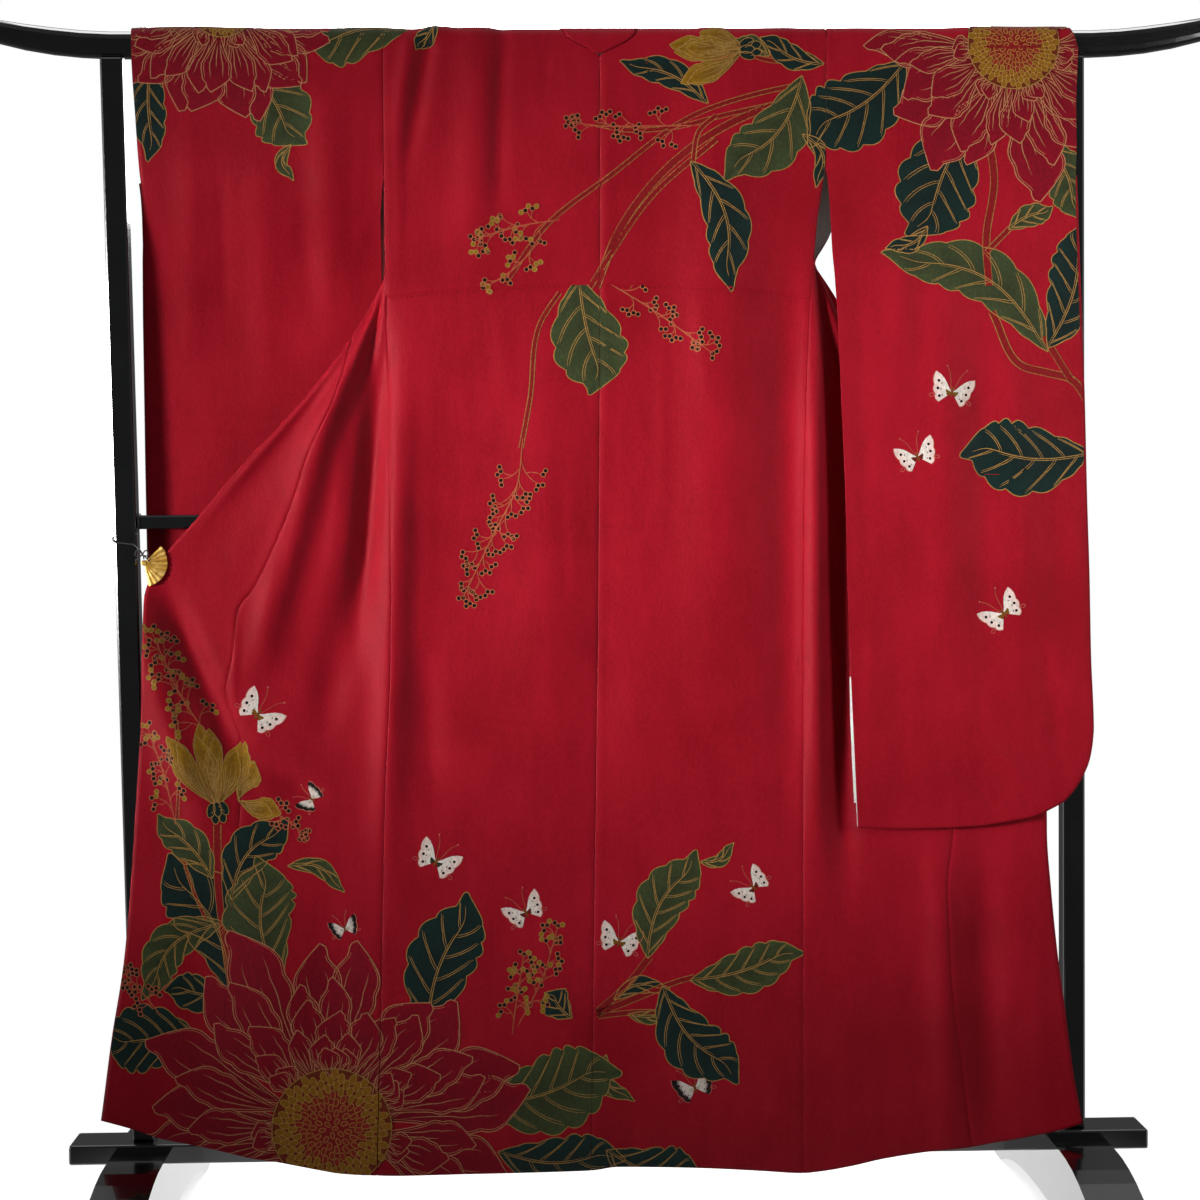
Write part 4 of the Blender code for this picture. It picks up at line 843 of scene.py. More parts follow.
def flower(draw, centre, radius, petals):
    """Layered petals round a disc of seeds set at the golden angle. Between the petals of the
    table come shorter and slimmer ones, and small ones lie close to the disc."""
    centre = np.array(centre)
    rows = [(turn, length, 0.80 * half) for turn, length, half in petals]
    rows += [(turn + 8, 0.80 * length, 0.55 * half) for turn, length, half in petals]
    for k, (turn, length, half) in sorted(enumerate(rows), key=lambda p: -p[1][1]):
        way = heading(math.radians(turn))
        petal(draw, centre + way * radius * 0.8, centre + way * length, half, 0.05 * (-1) ** k)
    for k in range(SMALL_PETALS):
        way = heading(GOLDEN_ANGLE * k * 3 + 0.4)
        petal(draw, centre + way * radius * 0.86, centre + way * radius * 1.34, radius * 0.17, 0.05,
              streaks=2)
    draw.layer += 1
    x, y = disc(28)
    ground = tinted((150, 20, 28), (112, 42, 16), np.clip(np.hypot(x, y), 0, 1) ** 2)
    draw.grid(centre + radius * np.stack([x, y], -1), ground)
    draw.ring(centre, radius, radius, 0, 0.0014, GOLD, 61)
    draw.layer += 1
    for k in range(SEEDS):
        far = math.sqrt((k + 0.5) / SEEDS)
        a = GOLDEN_ANGLE * k
        size = radius * (0.050 + 0.045 * far)
        place = centre + radius * 0.94 * far * heading(a)
        fill = (156, 104, 24) if far > 0.62 else (158, 44, 32)
        draw.dot(place, size, size * 0.62, a, fill, 0.00002)
        draw.ring(place, size, size * 0.62, a, VEIN, (190, 150, 66), 10)


def stem(draw, points, width):
    """A stem with a line along each side."""
    path = smooth(points, 8 * len(points))
    draw.line(path, width, (138, 20, 24))
    for way in (-0.5, 0.5):
        draw.line(path + left_of(headings(path)) * width * way, 0.0010, GOLD)


def berries(draw, place, turn, number, ochre):
    """Two or three ringed berries that touch each other."""
    for n in range(number):
        at = place + (2 * BERRY - 0.0002 if n else 0.0) * heading(turn + (0, 1.1, -1.0)[n])
        inside = OCHRE if ochre and math.sin(997 * (at[0] + at[1])) > 0.2 else DARK
        draw.dot(at, BERRY, BERRY, 0, inside, 0.00003)
        draw.ring(at, BERRY, BERRY, 0, 0.0011, (196, 108, 70) if inside is DARK else GOLD, 11)


def spray(draw, points, number, spread, ochre):
    """Twigs that leave an axis by turns, slanting forward. Each forks once, and berries sit at
    both of its ends and at the axis's own."""
    path = smooth(points, 60)
    run = headings(path)
    square = left_of(run)
    tone = (190, 92, 62)
    draw.line(path, 0.0019, tone, 0.5)
    for k in range(number):
        t = 0.10 + 0.84 * (k + 0.5) / number
        i, way = int(t * 59), (-1) ** k
        reach = spread * (0.80 + 0.30 * math.sin(2.3 * k + 1)) * (1.15 - 0.40 * t)
        turn = 0.66 + 0.22 * math.sin(1.9 * k)
        go = run[i] * math.cos(turn) + square[i] * way * math.sin(turn)
        end = path[i] + go * reach
        twig = bow(path[i], end, -0.12 * way, 7)[0]
        draw.line(twig, BOLD, tone, 0.3)
        fork = turned((0, 0), *go, 0.9 * way * (-1) ** (k // 2))
        side = twig[3] + fork * reach * 0.50
        draw.line(bow(twig[3], side, 0.1, 4)[0], EDGE, tone, 0.3)
        for tip, aim, more in ((end, go, 1), (side, fork, 0)):
            berries(draw, tip + aim * 0.0036, math.atan2(aim[1], aim[0]), 2 + (k + more) % 2, ochre)
    berries(draw, path[-1], math.atan2(run[-1][1], run[-1][0]), 3, ochre)


def bud(draw, start, petals):
    """A half-open flower in ochre: slim petals in pairs. A large one sits on a dark calyx of
    five scales."""
    start, tips = np.array(start), np.array([(x, s) for x, s, _ in petals]) / 1000
    axis = np.mean(tips, 0) - start
    axis = axis / np.linalg.norm(axis)
    for k, (x, s, half) in enumerate(petals + petals):
        tip = np.array([x, s]) / 1000
        if k >= len(petals):
            tip = start + (0.90 - 0.05 * (k % 2)) * (tip - start) + 0.006 * (-1) ** k * axis[::-1]
        petal(draw, start, tip, half / 1000 * (0.85 if k < len(petals) else 0.6), 0.09 * (-1) ** k,
              ((172, 126, 20), (84, 52, 14)), GOLD, 5)
    if len(petals) < 4:
        return
    turn = math.atan2(axis[1], axis[0])
    for along, across in ((-0.014, -0.5), (-0.014, 0.5), (-0.004, -1), (-0.004, 1), (-0.004, 0)):
        at = start + along * axis + 0.009 * across * np.array([-axis[1], axis[0]])
        draw.layer += 1
        draw.dot(at, 0.0105, 0.0056, turn - 0.3 * across, TEAL, 0, 5)
        draw.ring(at, 0.0105, 0.0056, turn - 0.3 * across, 0.0010, GOLD)


def butterfly(draw, place, size, turn, tone):
    """Two wings, each a fan about the body from 50 to 138 degrees off its axis. A wing's reach
    is size * (0.63 + 0.37 (1 - v)^3) with three lobes, v going from its tip to its foot."""
    place, turn = np.array(place), math.radians(turn + 90)

    def at(way, far, off):
        a = turn - way * np.radians(off)
        return place + np.stack([np.cos(a), np.sin(a)], -1) * (size * np.asarray(far))[..., None]

    v = np.linspace(0, 1, 19)
    reach = 0.61 + 0.39 * (1 - v) ** 3 + 0.055 * np.abs(np.sin(3 * math.pi * v))
    u = np.linspace(0.0, 1.0, 6)[:, None]
    inner = ((122, 84, 20), (104, 26, 16), (40, 44, 24), (214, 196, 176))[tone]
    for way in (-1, 1):
        off = 50 + 88 * v - 9 * np.sin(math.pi * u) * (1 - v) ** 3
        white = np.array(WHITE) * (1 - 0.10 * u[..., None] ** 2 * np.array([0, 1, 1]))
        white = np.broadcast_to(white, (6, 19, 3))
        if tone == 3:
            white = np.where(u[..., None] > 0.70, np.array(DARK, float), white)
        draw.layer += 1
        draw.grid(at(way, reach * u, off), white)
        draw.line(at(way, reach, off[-1]), VEIN, (206, 120, 104))
        draw.grid(at(way, 0.42 * reach[5:] * u[::2], off[-1][5:]), inner, 0.00005)
        for share, back in ((0.13, 0.72), (0.42, 0.76), (0.78, 0.74)):
            mid = np.interp(share, v, reach)
            draw.dot(at(way, back * mid, 50 + 88 * share), 0.055 * size, 0.055 * size, 0, DARK, 0.00008)
            draw.dot(at(way, (back - 0.16) * mid, 50 + 88 * share), 0.040 * size, 0.018 * size,
                     turn - way * (0.9 + 1.5 * share) + 1.57, (96, 88, 80), 0.00008)
        tail = np.radians(np.linspace(0, 360, 11))
        loop = at(way, 0.76 + 0.10 * np.cos(tail), 110 + 4.5 * np.sin(tail))
        draw.line(loop, VEIN, (200, 96, 84))
        feeler = np.linspace(0.05, 0.98, 9)
        draw.line(at(way, feeler, 30 - 12 * np.sin(2.6 * feeler)), 0.0010, (186, 86, 66), 0.2)
        draw.dot(at(way, 1.0, 23), 0.030 * size, 0.030 * size, 0, (206, 110, 96), 0.00008)
    draw.dot(place, 0.050 * size, 0.20 * size, turn - math.pi / 2, (128, 70, 26), 0.00012, 5)


# The pattern's places, in millimetres along the cloth. Group: S left sleeve, B body, T what
# the tuck cuts off, R right sleeve. A leaf is (groups, foot x, s, tip x, s, half width, bow,
# lobes, tone: 1 olive).
LEAVES = (
    ("S", -638, 1694, -636, 1541, 27, -0.06, 5, 0),
    ("S", -514, 1671, -444, 1555, 47, 0.10, 5, 1),
    ("S", -444, 1561, -438, 1514, 10, -0.35, 2, 1),
    ("SB", -277, 1722, -414, 1691, 47, -0.10, 4, 1),
    ("B", -237, 1733, -269, 1699, 13, 0.10, 3, 0),
    ("B", 314, 1673, 229, 1715, 18, 0.12, 4, 0),
    ("B", 237, 1684, 187, 1701, 14, -0.10, 3, 1),
    ("B", 148, 1616, 23, 1668, 21, -0.14, 4, 0),
    ("B", 282, 1656, 162, 1526, 44, 0.16, 5, 1),
    ("BR", 431, 1678, 283, 1582, 57, 0.10, 6, 0),
    ("B", 282, 1573, 296, 1500, 13, 0.30, 3, 0),
    ("B", 122, 1534, 163, 1352, 34, 0.16, 5, 0),
    ("T", -39, 1373, 1, 1214, 54, -0.05, 5, 1),
    ("R", 527, 1597, 455, 1420, 60, -0.06, 6, 0),
    ("R", 458, 1440, 398, 1414, 13, 0.20, 3, 0),
    ("R", 621, 1562, 664, 1447, 34, 0.12, 5, 1),
    ("R", 573, 1434, 637, 1458, 17, 0.10, 4, 1),
    ("R", 627, 1265, 671, 1445, 44, -0.10, 6, 0),
    ("R", 627, 1260, 392, 1384, 41, -0.20, 6, 1),
    ("R", 690, 1117, 510, 1138, 54, 0.10, 6, 0),
    ("B", -565, 521, -648, 602, 27, -0.10, 4, 1),
    ("B", -539, 490, -451, 591, 34, 0.18, 5, 0),
    ("B", -469, 375, -478, 543, 53, 0.14, 6, 1),
    ("B", -459, 537, -384, 496, 13, 0.22, 3, 1),
    ("B", -540, 358, -643, 537, 54, -0.14, 6, 0),
    ("B", -550, 458, -653, 346, 31, -0.22, 6, 1),
    ("B", -540, 358, -630, 374, 28, 0.10, 4, 0),
    ("B", -583, 290, -719, 284, 50, -0.05, 6, 0),
    ("B", -262, 292, -185, 482, 51, 0.10, 6, 0),
    ("B", -197, 193, -2, 259, 60, -0.10, 7, 1),
    ("B", -8, 262, 34, 200, 13, -0.30, 3, 1),
    ("B", -56, 315, -84, 355, 23, 0.10, 4, 0),
    ("B", 53, 399, 135, 539, 38, 0.14, 6, 1),
    ("B", 129, 536, 173, 565, 10, -0.25, 3, 1),
    ("B", 113, 367, 269, 418, 34, -0.08, 6, 1),
    ("B", 73, 359, 190, 236, 44, -0.14, 6, 0),
    ("B", 4, 340, 82, 350, 13, 0.20, 3, 0),
    ("B", 24, 319, 84, 321, 10, -0.10, 3, 1),
    ("B", -164, 124, 11, 130, 43, -0.12, 5, 0),
    ("B", -9, 124, 126, 99, 43, -0.14, 5, 0),
)
# A flower is (group, x, s, radius of its disc, petals), and a petal (turn in degrees, reach
# from the disc's middle, half width).
FLOWERS = (
    ("S", -539, 1758, 48, (
        (-172, 159, 34), (-158, 168, 34), (-146, 179, 31), (-133, 159, 28), (-118, 159, 34), (-101, 153, 36),
        (-84, 159, 34), (-68, 170, 31), (-52, 156, 36), (-38, 159, 31), (-24, 159, 28), (-8, 156, 31),
    )),
    ("R", 585, 1701, 65, (
        (178, 213, 23), (186, 188, 28), (200, 173, 37), (216, 196, 43), (231, 213, 45), (252, 185, 28),
        (268, 142, 26), (283, 227, 43), (300, 182, 34), (318, 170, 34), (335, 156, 31), (352, 142, 28),
    )),
    ("B", -400, 162, 85, (
        (168, 253, 43), (188, 270, 48), (150, 290, 45), (133, 278, 43), (113, 315, 48), (97, 261, 40),
        (78, 267, 40), (56, 224, 43), (40, 250, 48), (22, 278, 48), (6, 284, 48), (-12, 256, 43),
        (-28, 213, 43), (206, 241, 43), (224, 213, 40), (104, 185, 28), (68, 170, 31), (90, 165, 31),
        (124, 185, 31), (30, 170, 31),
    )),
)
# A bud is (group, foot x, s, petals), and a petal (tip x, s, half width).
BUDS = (
    ("B", 200, 1693, ((97, 1707, 17), (103, 1682, 17), (108, 1653, 17), (137, 1707, 17),)),
    ("B", -557, 624, ((-618, 727, 17), (-590, 737, 17), (-561, 732, 18), (-528, 715, 20),)),
    ("B", -528, 632, ((-500, 680, 20), (-468, 620, 17),)),
)
# A stem is (group, width, the points that it passes).
STEMS = (
    ("B", 6, ((282, 1625), (186, 1603), (91, 1582), (30, 1580), (-12, 1588),)),
    ("B", 6, ((280, 1644), (217, 1630), (122, 1597), (8, 1515), (-81, 1447), (-143, 1362),)),
    ("B", 10, ((265, 1622), (196, 1596), (90, 1526), (19, 1435), (-13, 1357),)),
    ("B", 7, ((159, 1565), (67, 1486), (1, 1393), (-22, 1357),)),
    ("B", 6, ((288, 1676), (223, 1681), (197, 1693),)),
    ("B", 6, ((125, 1531), (136, 1579), (159, 1599),)),
    ("T", 6, ((-65, 1350), (-91, 1311), (-109, 1197), (-122, 1129),)),
    ("R", 10, ((541, 1597), (554, 1505), (541, 1419), (544, 1354),)),
    ("R", 7, ((541, 1402), (558, 1419), (575, 1436),)),
    ("R", 10, ((548, 1317), (590, 1240), (627, 1230), (661, 1220), (687, 1183),)),
    ("R", 9, ((622, 1282), (644, 1245), (661, 1218),)),
    ("B", 10, ((-557, 598), (-558, 518), (-548, 418), (-535, 333),)),
    ("B", 4, ((-612, 747), (-610, 661), (-614, 599), (-598, 519), (-576, 462),)),
    ("B", 9, ((-20, 323), (24, 362), (56, 402),)),
    ("B", 9, ((-22, 320), (27, 339), (76, 359),)),
    ("B", 7, ((-19, 317), (41, 322), (81, 321),)),
    ("B", 7, ((76, 359), (99, 367), (119, 372),)),
)
# A spray is (group, twigs, their reach, 1 for ochre berries, the points of its axis).
SPRAYS = (
    ("B", 8, 28, 0, ((136, 1585), (51, 1585), (0, 1585), (-51, 1591),)),
    ("B", 9, 28, 1, ((-64, 1453), (-121, 1444), (-186, 1425),)),
    ("B", 4, 17, 1, ((-92, 1424), (-128, 1385), (-167, 1359),)),
    ("T", 9, 26, 0, ((-2, 1367), (63, 1327), (151, 1261),)),
    ("B", 17, 36, 0, ((-119, 1143), (-130, 1070), (-159, 1013), (-206, 917),)),
    ("B", 15, 31, 1, ((-564, 715), (-603, 775), (-647, 875),)),
    ("B", 9, 24, 1, ((-617, 599), (-630, 662), (-655, 739),)),
    ("B", 4, 16, 0, ((-495, 623), (-464, 606), (-438, 585),)),
    ("B", 6, 18, 0, ((-642, 328), (-667, 360), (-693, 389),)),
    ("B", 6, 20, 1, ((-142, 293), (-133, 356), (-124, 407),)),
    ("B", 9, 24, 1, ((-134, 304), (-99, 370), (-75, 447),)),
)
# A butterfly is (group, x, s, size, turn in degrees, tone of its inner wing).
BUTTERFLIES = (
    ("R", 489, 1203, 38, -14, 0),
    ("R", 440, 1112, 36, 21, 1),
    ("R", 562, 889, 38, 41, 0),
    ("B", -499, 754, 41, -44, 0),
    ("B", -424, 632, 26, 60, 3),
    ("B", -379, 446, 26, 19, 3),
    ("B", -248, 541, 39, -30, 2),
    ("B", -121, 467, 36, 30, 1),
    ("B", 12, 423, 38, -17, 0),
    ("B", 205, 499, 34, 51, 1),
    ("B", 119, 212, 36, 22, 3),
)


# The tuck's stitches: length, distance from one to the next, and how far below its edge.
STITCH, STITCH_STEP, STITCH_DROP = 0.0028, 0.0072, 0.0042


def drawings():
    """The whole pattern: the left sleeve, the body, what the tuck cuts off, the right sleeve."""
    made = {group: Drawing() for group in "SBTR"}
    for x in np.arange(-0.305, 0.29, STITCH_STEP):
        dash = x + STITCH * np.array([0.0, 0.5, 1.0])
        made["B"].line(np.stack([dash, tuck_z(dash) - STITCH_DROP], -1), 0.0007, (84, 2, 14))
    for group, width, points in STEMS:
        made[group].layer = 1
        stem(made[group], np.array(points) / 1000, width / 1000)
    for k, (groups, *ends, half, bend, teeth, tone) in enumerate(LEAVES):
        foot, tip = np.array(ends).reshape(2, 2) / 1000
        for group in groups:
            made[group].layer = 2 + k % 6
            leaf(made[group], foot, tip, half / 1000, bend, teeth, tone)
    for group, number, spread, ochre, points in SPRAYS:
        made[group].layer = 8
        spray(made[group], np.array(points) / 1000, number, spread / 1000, ochre)
    for group, x, s, petals in BUDS:
        made[group].layer = 8
        bud(made[group], (x / 1000, s / 1000), petals)
    for group, x, s, radius, petals in FLOWERS:
        made[group].layer = 9
        flower(made[group], (x / 1000, s / 1000), radius / 1000,
               [(turn, length / 1000, half / 1000) for turn, length, half in petals])
    for group, x, s, size, turn, tone in BUTTERFLIES:
        made[group].layer = 1
        butterfly(made[group], (x / 1000, s / 1000), size / 1000, turn, tone)
    return made


def linear(colour):
    """Colours as a screen shows them, 0 to 255, made linear."""
    c = np.asarray(colour, float) / 255
    return np.where(c <= 0.04045, c / 12.92, ((c + 0.055) / 1.055) ** 2.4)


def link(name, data):
    made = bpy.data.objects.new(name, data)
    bpy.context.scene.collection.objects.link(made)
    return made


def lay(draw, name, low, high, surface, top=ARCH_SPRING + ARC_END, bottom=None):
    """Puts a drawing on one panel: faces wholly outside it are left out, the rest are pressed
    to its edges, and every point goes to the panel's outer face."""
    flat = np.concatenate(draw.points)
    x, s = flat[:, 0], flat[:, 1]
    foot = np.full(len(s), -1.0) if bottom is None else bottom(x)
    top = top(x) if callable(top) else top
    near, far = low(s), high(s)
    out = (x <= near) + 2 * (x >= far) + 4 * (s <= foot) + 8 * (s >= top)
    faces = np.concatenate(draw.faces)
    beyond = out[faces]
    faces = faces[(beyond[:, 0] & beyond[:, 1] & beyond[:, 2] & beyond[:, 3]) == 0]
    s = np.clip(s, foot, top)
    x = np.clip(x, low(s), high(s))
    a, b, c, d = (np.stack([x, s], -1)[faces[:, k]] for k in range(4))
    one, two = c - a, d - b
    faces = faces[np.abs(one[:, 0] * two[:, 1] - one[:, 1] * two[:, 0]) > 4e-9]
    if not len(faces):
        return
    used, faces = np.unique(faces, return_inverse=True)
    faces = faces.reshape(-1, 4)
    points = surface(x[used], s[used], np.concatenate(draw.lifts)[used] + WALL / 2)
    mesh = bpy.data.meshes.new(name)
    mesh.from_pydata(points.tolist(), [], faces.tolist())
    dye = linear(np.concatenate(draw.dyes)[used])
    colour = mesh.color_attributes.new("dye", "FLOAT_COLOR", "POINT")
    colour.data.foreach_set("color", np.column_stack([dye, np.ones(len(dye))]).ravel())
    mesh.materials.append(DYE)
    mesh.shade_smooth()
    made = link(name, mesh)
    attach(made, "root")


def over_or(x, s, lift, below, way=-1.0):
    """The surface below the arch, and the arch above it, on the near (way -1) or far side."""
    arc = way * (ARC_END - np.maximum(s - ARCH_SPRING, 0))
    arch = over_rail(x, arc, lift + arch_lift(x, arc))
    return np.where((s > ARCH_SPRING)[..., None], arch, below(x, np.minimum(s, ARCH_SPRING), lift))


def sleeve_edge(side, layer, outer):
    """The edge of a sleeve's layer at a height, over the arch too."""
    def edge(s):
        level = np.minimum(s, ARCH_SPRING)
        x = sleeve_frame(side, layer, level)[int(outer)]
        other = sleeve_frame(side, "far" if layer == "near" else "near", np.array([ARCH_SPRING]))[1]
        share = np.maximum(s - ARCH_SPRING, 0) / (2 * ARC_END)
        return x + (other - x) * share if outer else x
    return edge


def back_place(x, s, lift):
    return over_or(x, s, lift, back_surface)


def sleeve_place(side, layer):
    def below(x, s, lift):
        inner, outer, _, _ = sleeve_frame(side, layer, s)
        return sleeve_surface(side, layer, s, np.clip((x - inner) / (outer - inner), 0, 1), lift)

    return lambda x, s, lift: over_or(x, s, lift, below, -1.0 if layer == "near" else 1.0)


def front_place(side):
    """Puts points on a front by the level and the share whose x and height they have."""
    def below(x, s, lift):
        level = z_level(x, s)
        start, end = side_point(side, level)[..., 0], read(FRONT_EDGE[side], "x", level)
        return front_surface(side, level, np.clip((x - start) / (end - start), 0, 1), lift)

    return lambda x, s, lift: over_or(x, s, lift, below, 1.0)


# The patterned stretches of the fronts: the far side's above the first level, and the spread
# cloth's below the second. The free edge there is read near FREE_EDGE.
SHOULDER_FOOT, SPREAD_TOP, FREE_EDGE = 1.45, 1.25, -0.68


def hem_line(x):
    return read(HEM, "z", x) + 0.0006


def gore_lines():
    """The left gore's free edge and its seam, as functions of the height."""
    def edge(s):
        return read(FRONT_EDGE["left"], "x", z_level(np.full(len(s), FREE_EDGE), s)) + 0.0006

    return edge, lambda s: read(GORE_SEAM["left"], "x", np.minimum(s, SPREAD_TOP))


def pattern():
    """Lays the drawings on the cloth's outer faces; at the seams they span the grooves."""
    DIP["deep"] = 0.0
    made = drawings()
    for side, sign in SIGN.items():
        order = slice(None, None, int(sign))
        for layer in ("near", "far"):
            ends = [sleeve_edge(side, layer, outer) for outer in (False, True)][order]
            lay(made["S" if side == "left" else "R"], "dye_sleeve_%s_%s" % (side, layer), *ends,
                sleeve_place(side, layer))
        ends = [
            lambda s: read(CENTRE_SEAM, "x", s) + sign * 0.0003,
            lambda s: seam_x(side, np.minimum(s, ARCH_SPRING)) - sign * 0.0003,
        ][order]
        lay(made["B"], "dye_back_" + side, *ends, back_place, bottom=hem_line)
        lay(made["T"], "dye_under_tuck_" + side, *ends, back_place, lambda x: tuck_z(x) - 0.0012)
        ends = [
            lambda s: read(FRONT_EDGE[side], "x", s) + sign * 0.0004,
            lambda s: side_point(side, np.minimum(s, ARCH_SPRING))[..., 0] - sign * 0.0008,
        ][order]
        lay(made["B"], "dye_shoulder_" + side, *ends, front_place(side),
            bottom=lambda x: SHOULDER_FOOT + 0 * x)
    edge, seam = gore_lines()
    lay(made["B"], "dye_front_left", seam, lambda s: seam_x("left", np.minimum(s, SPREAD_TOP)) - 0.0008,
        front_place("left"), SPREAD_TOP, hem_line)
    lay(made["B"], "dye_gore_left", edge, lambda s: seam(s) - 0.0004, front_place("left"),
        SPREAD_TOP, hem_line)


# Shader maths.
class Value:
    """A shader socket. Arithmetic on it, with numbers or other sockets, adds Math nodes."""

    def __init__(self, nodes, socket):
        self.nodes, self.socket = nodes, socket

    def maths(self, operation, *others):
        return self.nodes.node("ShaderNodeMath", {"operation": operation}, self, *others)

    def __add__(self, other):
        return self.maths("ADD", other)

    def __mul__(self, other):
        return self.maths("MULTIPLY", other)

    __radd__, __rmul__ = __add__, __mul__

    def clip(self, low, high):
        """0 where it is low, 1 where it is high, even between."""
        return self.nodes.node(
            "ShaderNodeMapRange", {"interpolation_type": "SMOOTHSTEP"}, self, low, high, 0.0, 1.0
        )


class Nodes:
    """A node tree. Its one method makes any node from its type, its settings, and the values
    or links of its sockets, by number or by name."""

    def __init__(self, tree):
        self.tree = tree

    def node(self, kind, settings, *values, out=0, **named):
        made = self.tree.nodes.new(kind)
        for key, value in settings.items():
            setattr(made, key, value)
        pairs = list(enumerate(values)) + [(key.replace("_", " "), v) for key, v in named.items()]
        for key, value in pairs:
            if isinstance(value, Value):
                self.tree.links.new(value.socket, made.inputs[key])
            elif value is not None:
                made.inputs[key].default_value = value
        return Value(self, made.outputs[out])


class Finish(Nodes):
    """A material: its Principled shader and the nodes that feed it."""

    def __init__(self, name, **constant):
        self.material = bpy.data.materials.new(name)
        self.material.use_nodes = True
        super().__init__(self.material.node_tree)
        self.shader = self.tree.nodes["Principled BSDF"]
        for socket, value in constant.items():
            self.shader.inputs[socket.replace("_", " ")].default_value = value

    def place(self):
        return self.node("ShaderNodeTexCoord", {}, out="Object")

    def noise(self, scale, detail, rough=0.5, up=1.0):
        """Noise on Object coordinates. up scales their height: below 1 it makes grains tall."""
        place = self.node("ShaderNodeMapping", {}, Vector=self.place(), Scale=(1.0, 1.0, up))
        return self.node(
            "ShaderNodeTexNoise", {}, Vector=place, Scale=scale, Detail=detail, Roughness=rough
        )

    def mix(self, share, first, second):
        return self.node(
            "ShaderNodeMix", {"data_type": "RGBA", "clamp_factor": True}, share,
            None, None, None, None, None, first, second, out=2,
        )

    def feed(self, **sockets):
        """Links values to the shader's sockets, and gives back the material."""
        for name, value in sockets.items():
            self.tree.links.new(value.socket, self.shader.inputs[name.replace("_", " ")])
        return self.material

    def bump(self, height, distance, strength, under=None):
        return self.node(
            "ShaderNodeBump", {}, Height=height, Distance=distance, Strength=strength,
            **({"Normal": under} if under else {}),
        )


def rgba(*colour):
    return (*linear(colour).tolist(), 1.0)


def crepe(cloth):
    """The fine grain and the pebbling of crepe."""
    return cloth.noise(900.0, 2.0, up=0.45), cloth.noise(320.0, 3.0, up=0.6)


def silk_finish(name, deep, bright):
    """Crepe silk: a fine pebbled twist over slow mottling, with a soft sheen."""
    cloth = Finish(
        name, Roughness=0.62, Sheen_Weight=0.05, Sheen_Roughness=0.4,
        Sheen_Tint=rgba(255, 70, 80), Specular_IOR_Level=0.09,
    )
    grain, pebble = crepe(cloth)
    crinkle = cloth.noise(42.0, 4.0, 0.55, up=0.35)
    slow = cloth.noise(5.0, 2.0)
    share = (slow * 0.5 + pebble * 0.35 + crinkle * 0.25).clip(0.35, 0.75)
    normal = cloth.bump(pebble, 0.0006, 0.45, cloth.bump(crinkle, 0.0022, 0.35))
    return cloth.feed(
        Base_Color=cloth.mix(share, rgba(*deep), rgba(*bright)), Roughness=grain * 0.18 + 0.50,
        Normal=cloth.bump(grain, 0.00025, 0.5, normal),
    )


def lining_finish():
    """Plain pale silk: fine even weave."""
    cloth = Finish("lining silk", Roughness=0.55, Sheen_Weight=0.2, Specular_IOR_Level=0.35)
    weave = cloth.noise(700.0, 2.0, up=0.3)
    slow = cloth.noise(9.0, 2.0)
    colour = cloth.mix((slow * 0.3 + weave * 0.7).clip(0.3, 0.7), rgba(196, 188, 185), rgba(220, 213, 208))
    return cloth.feed(
        Base_Color=colour, Roughness=weave * 0.15 + 0.48, Normal=cloth.bump(weave, 0.0003, 0.4)
    )


def lacquer_finish():
    """Black lacquer: a clear coat over near black, with very faint waves and dust."""
    coat = Finish(
        "black lacquer", Roughness=0.16, Coat_Weight=1.0, Coat_Roughness=0.04,
        Specular_IOR_Level=0.5, Base_Color=rgba(9, 10, 13),
    )
    waves = coat.noise(14.0, 2.0)
    dust = coat.noise(260.0, 2.0)
    colour = coat.mix(waves.clip(0.3, 0.7), rgba(6, 7, 9), rgba(13, 14, 16))
    return coat.feed(
        Base_Color=colour, Roughness=dust * 0.10 + 0.12, Normal=coat.bump(waves, 0.0015, 0.12)
    )


def gilt_finish():
    """Satin gilt: slightly worn, darker in its low places."""
    metal = Finish("satin gilt", Roughness=0.32, Metallic=0.6)
    worn = metal.noise(160.0, 3.0)
    brushed = metal.noise(500.0, 2.0, up=6.0)
    colour = metal.mix(worn.clip(0.35, 0.7), rgba(206, 152, 58), rgba(246, 206, 118))
    return metal.feed(
        Base_Color=colour, Roughness=worn * 0.25 + 0.26, Normal=metal.bump(brushed, 0.0003, 0.4)
    )


def cord_finish():
    """Black twisted cord: slanting strands."""
    cord = Finish("black cord", Roughness=0.6, Sheen_Weight=0.2)
    strand = cord.node(
        "ShaderNodeTexWave", {"wave_type": "BANDS", "bands_direction": "DIAGONAL"},
        Vector=cord.place(), Scale=260.0, Distortion=1.0,
    )
    colour = cord.mix(strand, rgba(8, 8, 9), rgba(30, 30, 33))
    return cord.feed(Base_Color=colour, Normal=cord.bump(strand, 0.0003, 0.6))


def dye_finish():
    """Dyed silk: the dye that each point holds, mottled a little, on the crepe's own grain."""
    cloth = Finish("dyed silk", Roughness=0.6, Sheen_Weight=0.03, Specular_IOR_Level=0.12)
    grain, pebble = crepe(cloth)
    dye = cloth.node("ShaderNodeAttribute", {"attribute_name": "dye"}, out="Color")
    dim = cloth.node("ShaderNodeVectorMath", {"operation": "SCALE"}, dye, None, None, 0.72)
    return cloth.feed(
        Base_Color=cloth.mix(pebble.clip(0.3, 0.75), dim, dye), Roughness=grain * 0.18 + 0.50,
        Normal=cloth.bump(pebble, 0.0006, 0.45),
    )


SILK = silk_finish("red crepe silk", (140, 8, 25), (168, 17, 37))
DYE = dye_finish()
LINING = lining_finish()
LACQUER = lacquer_finish()
GILT = gilt_finish()
CORD = cord_finish()


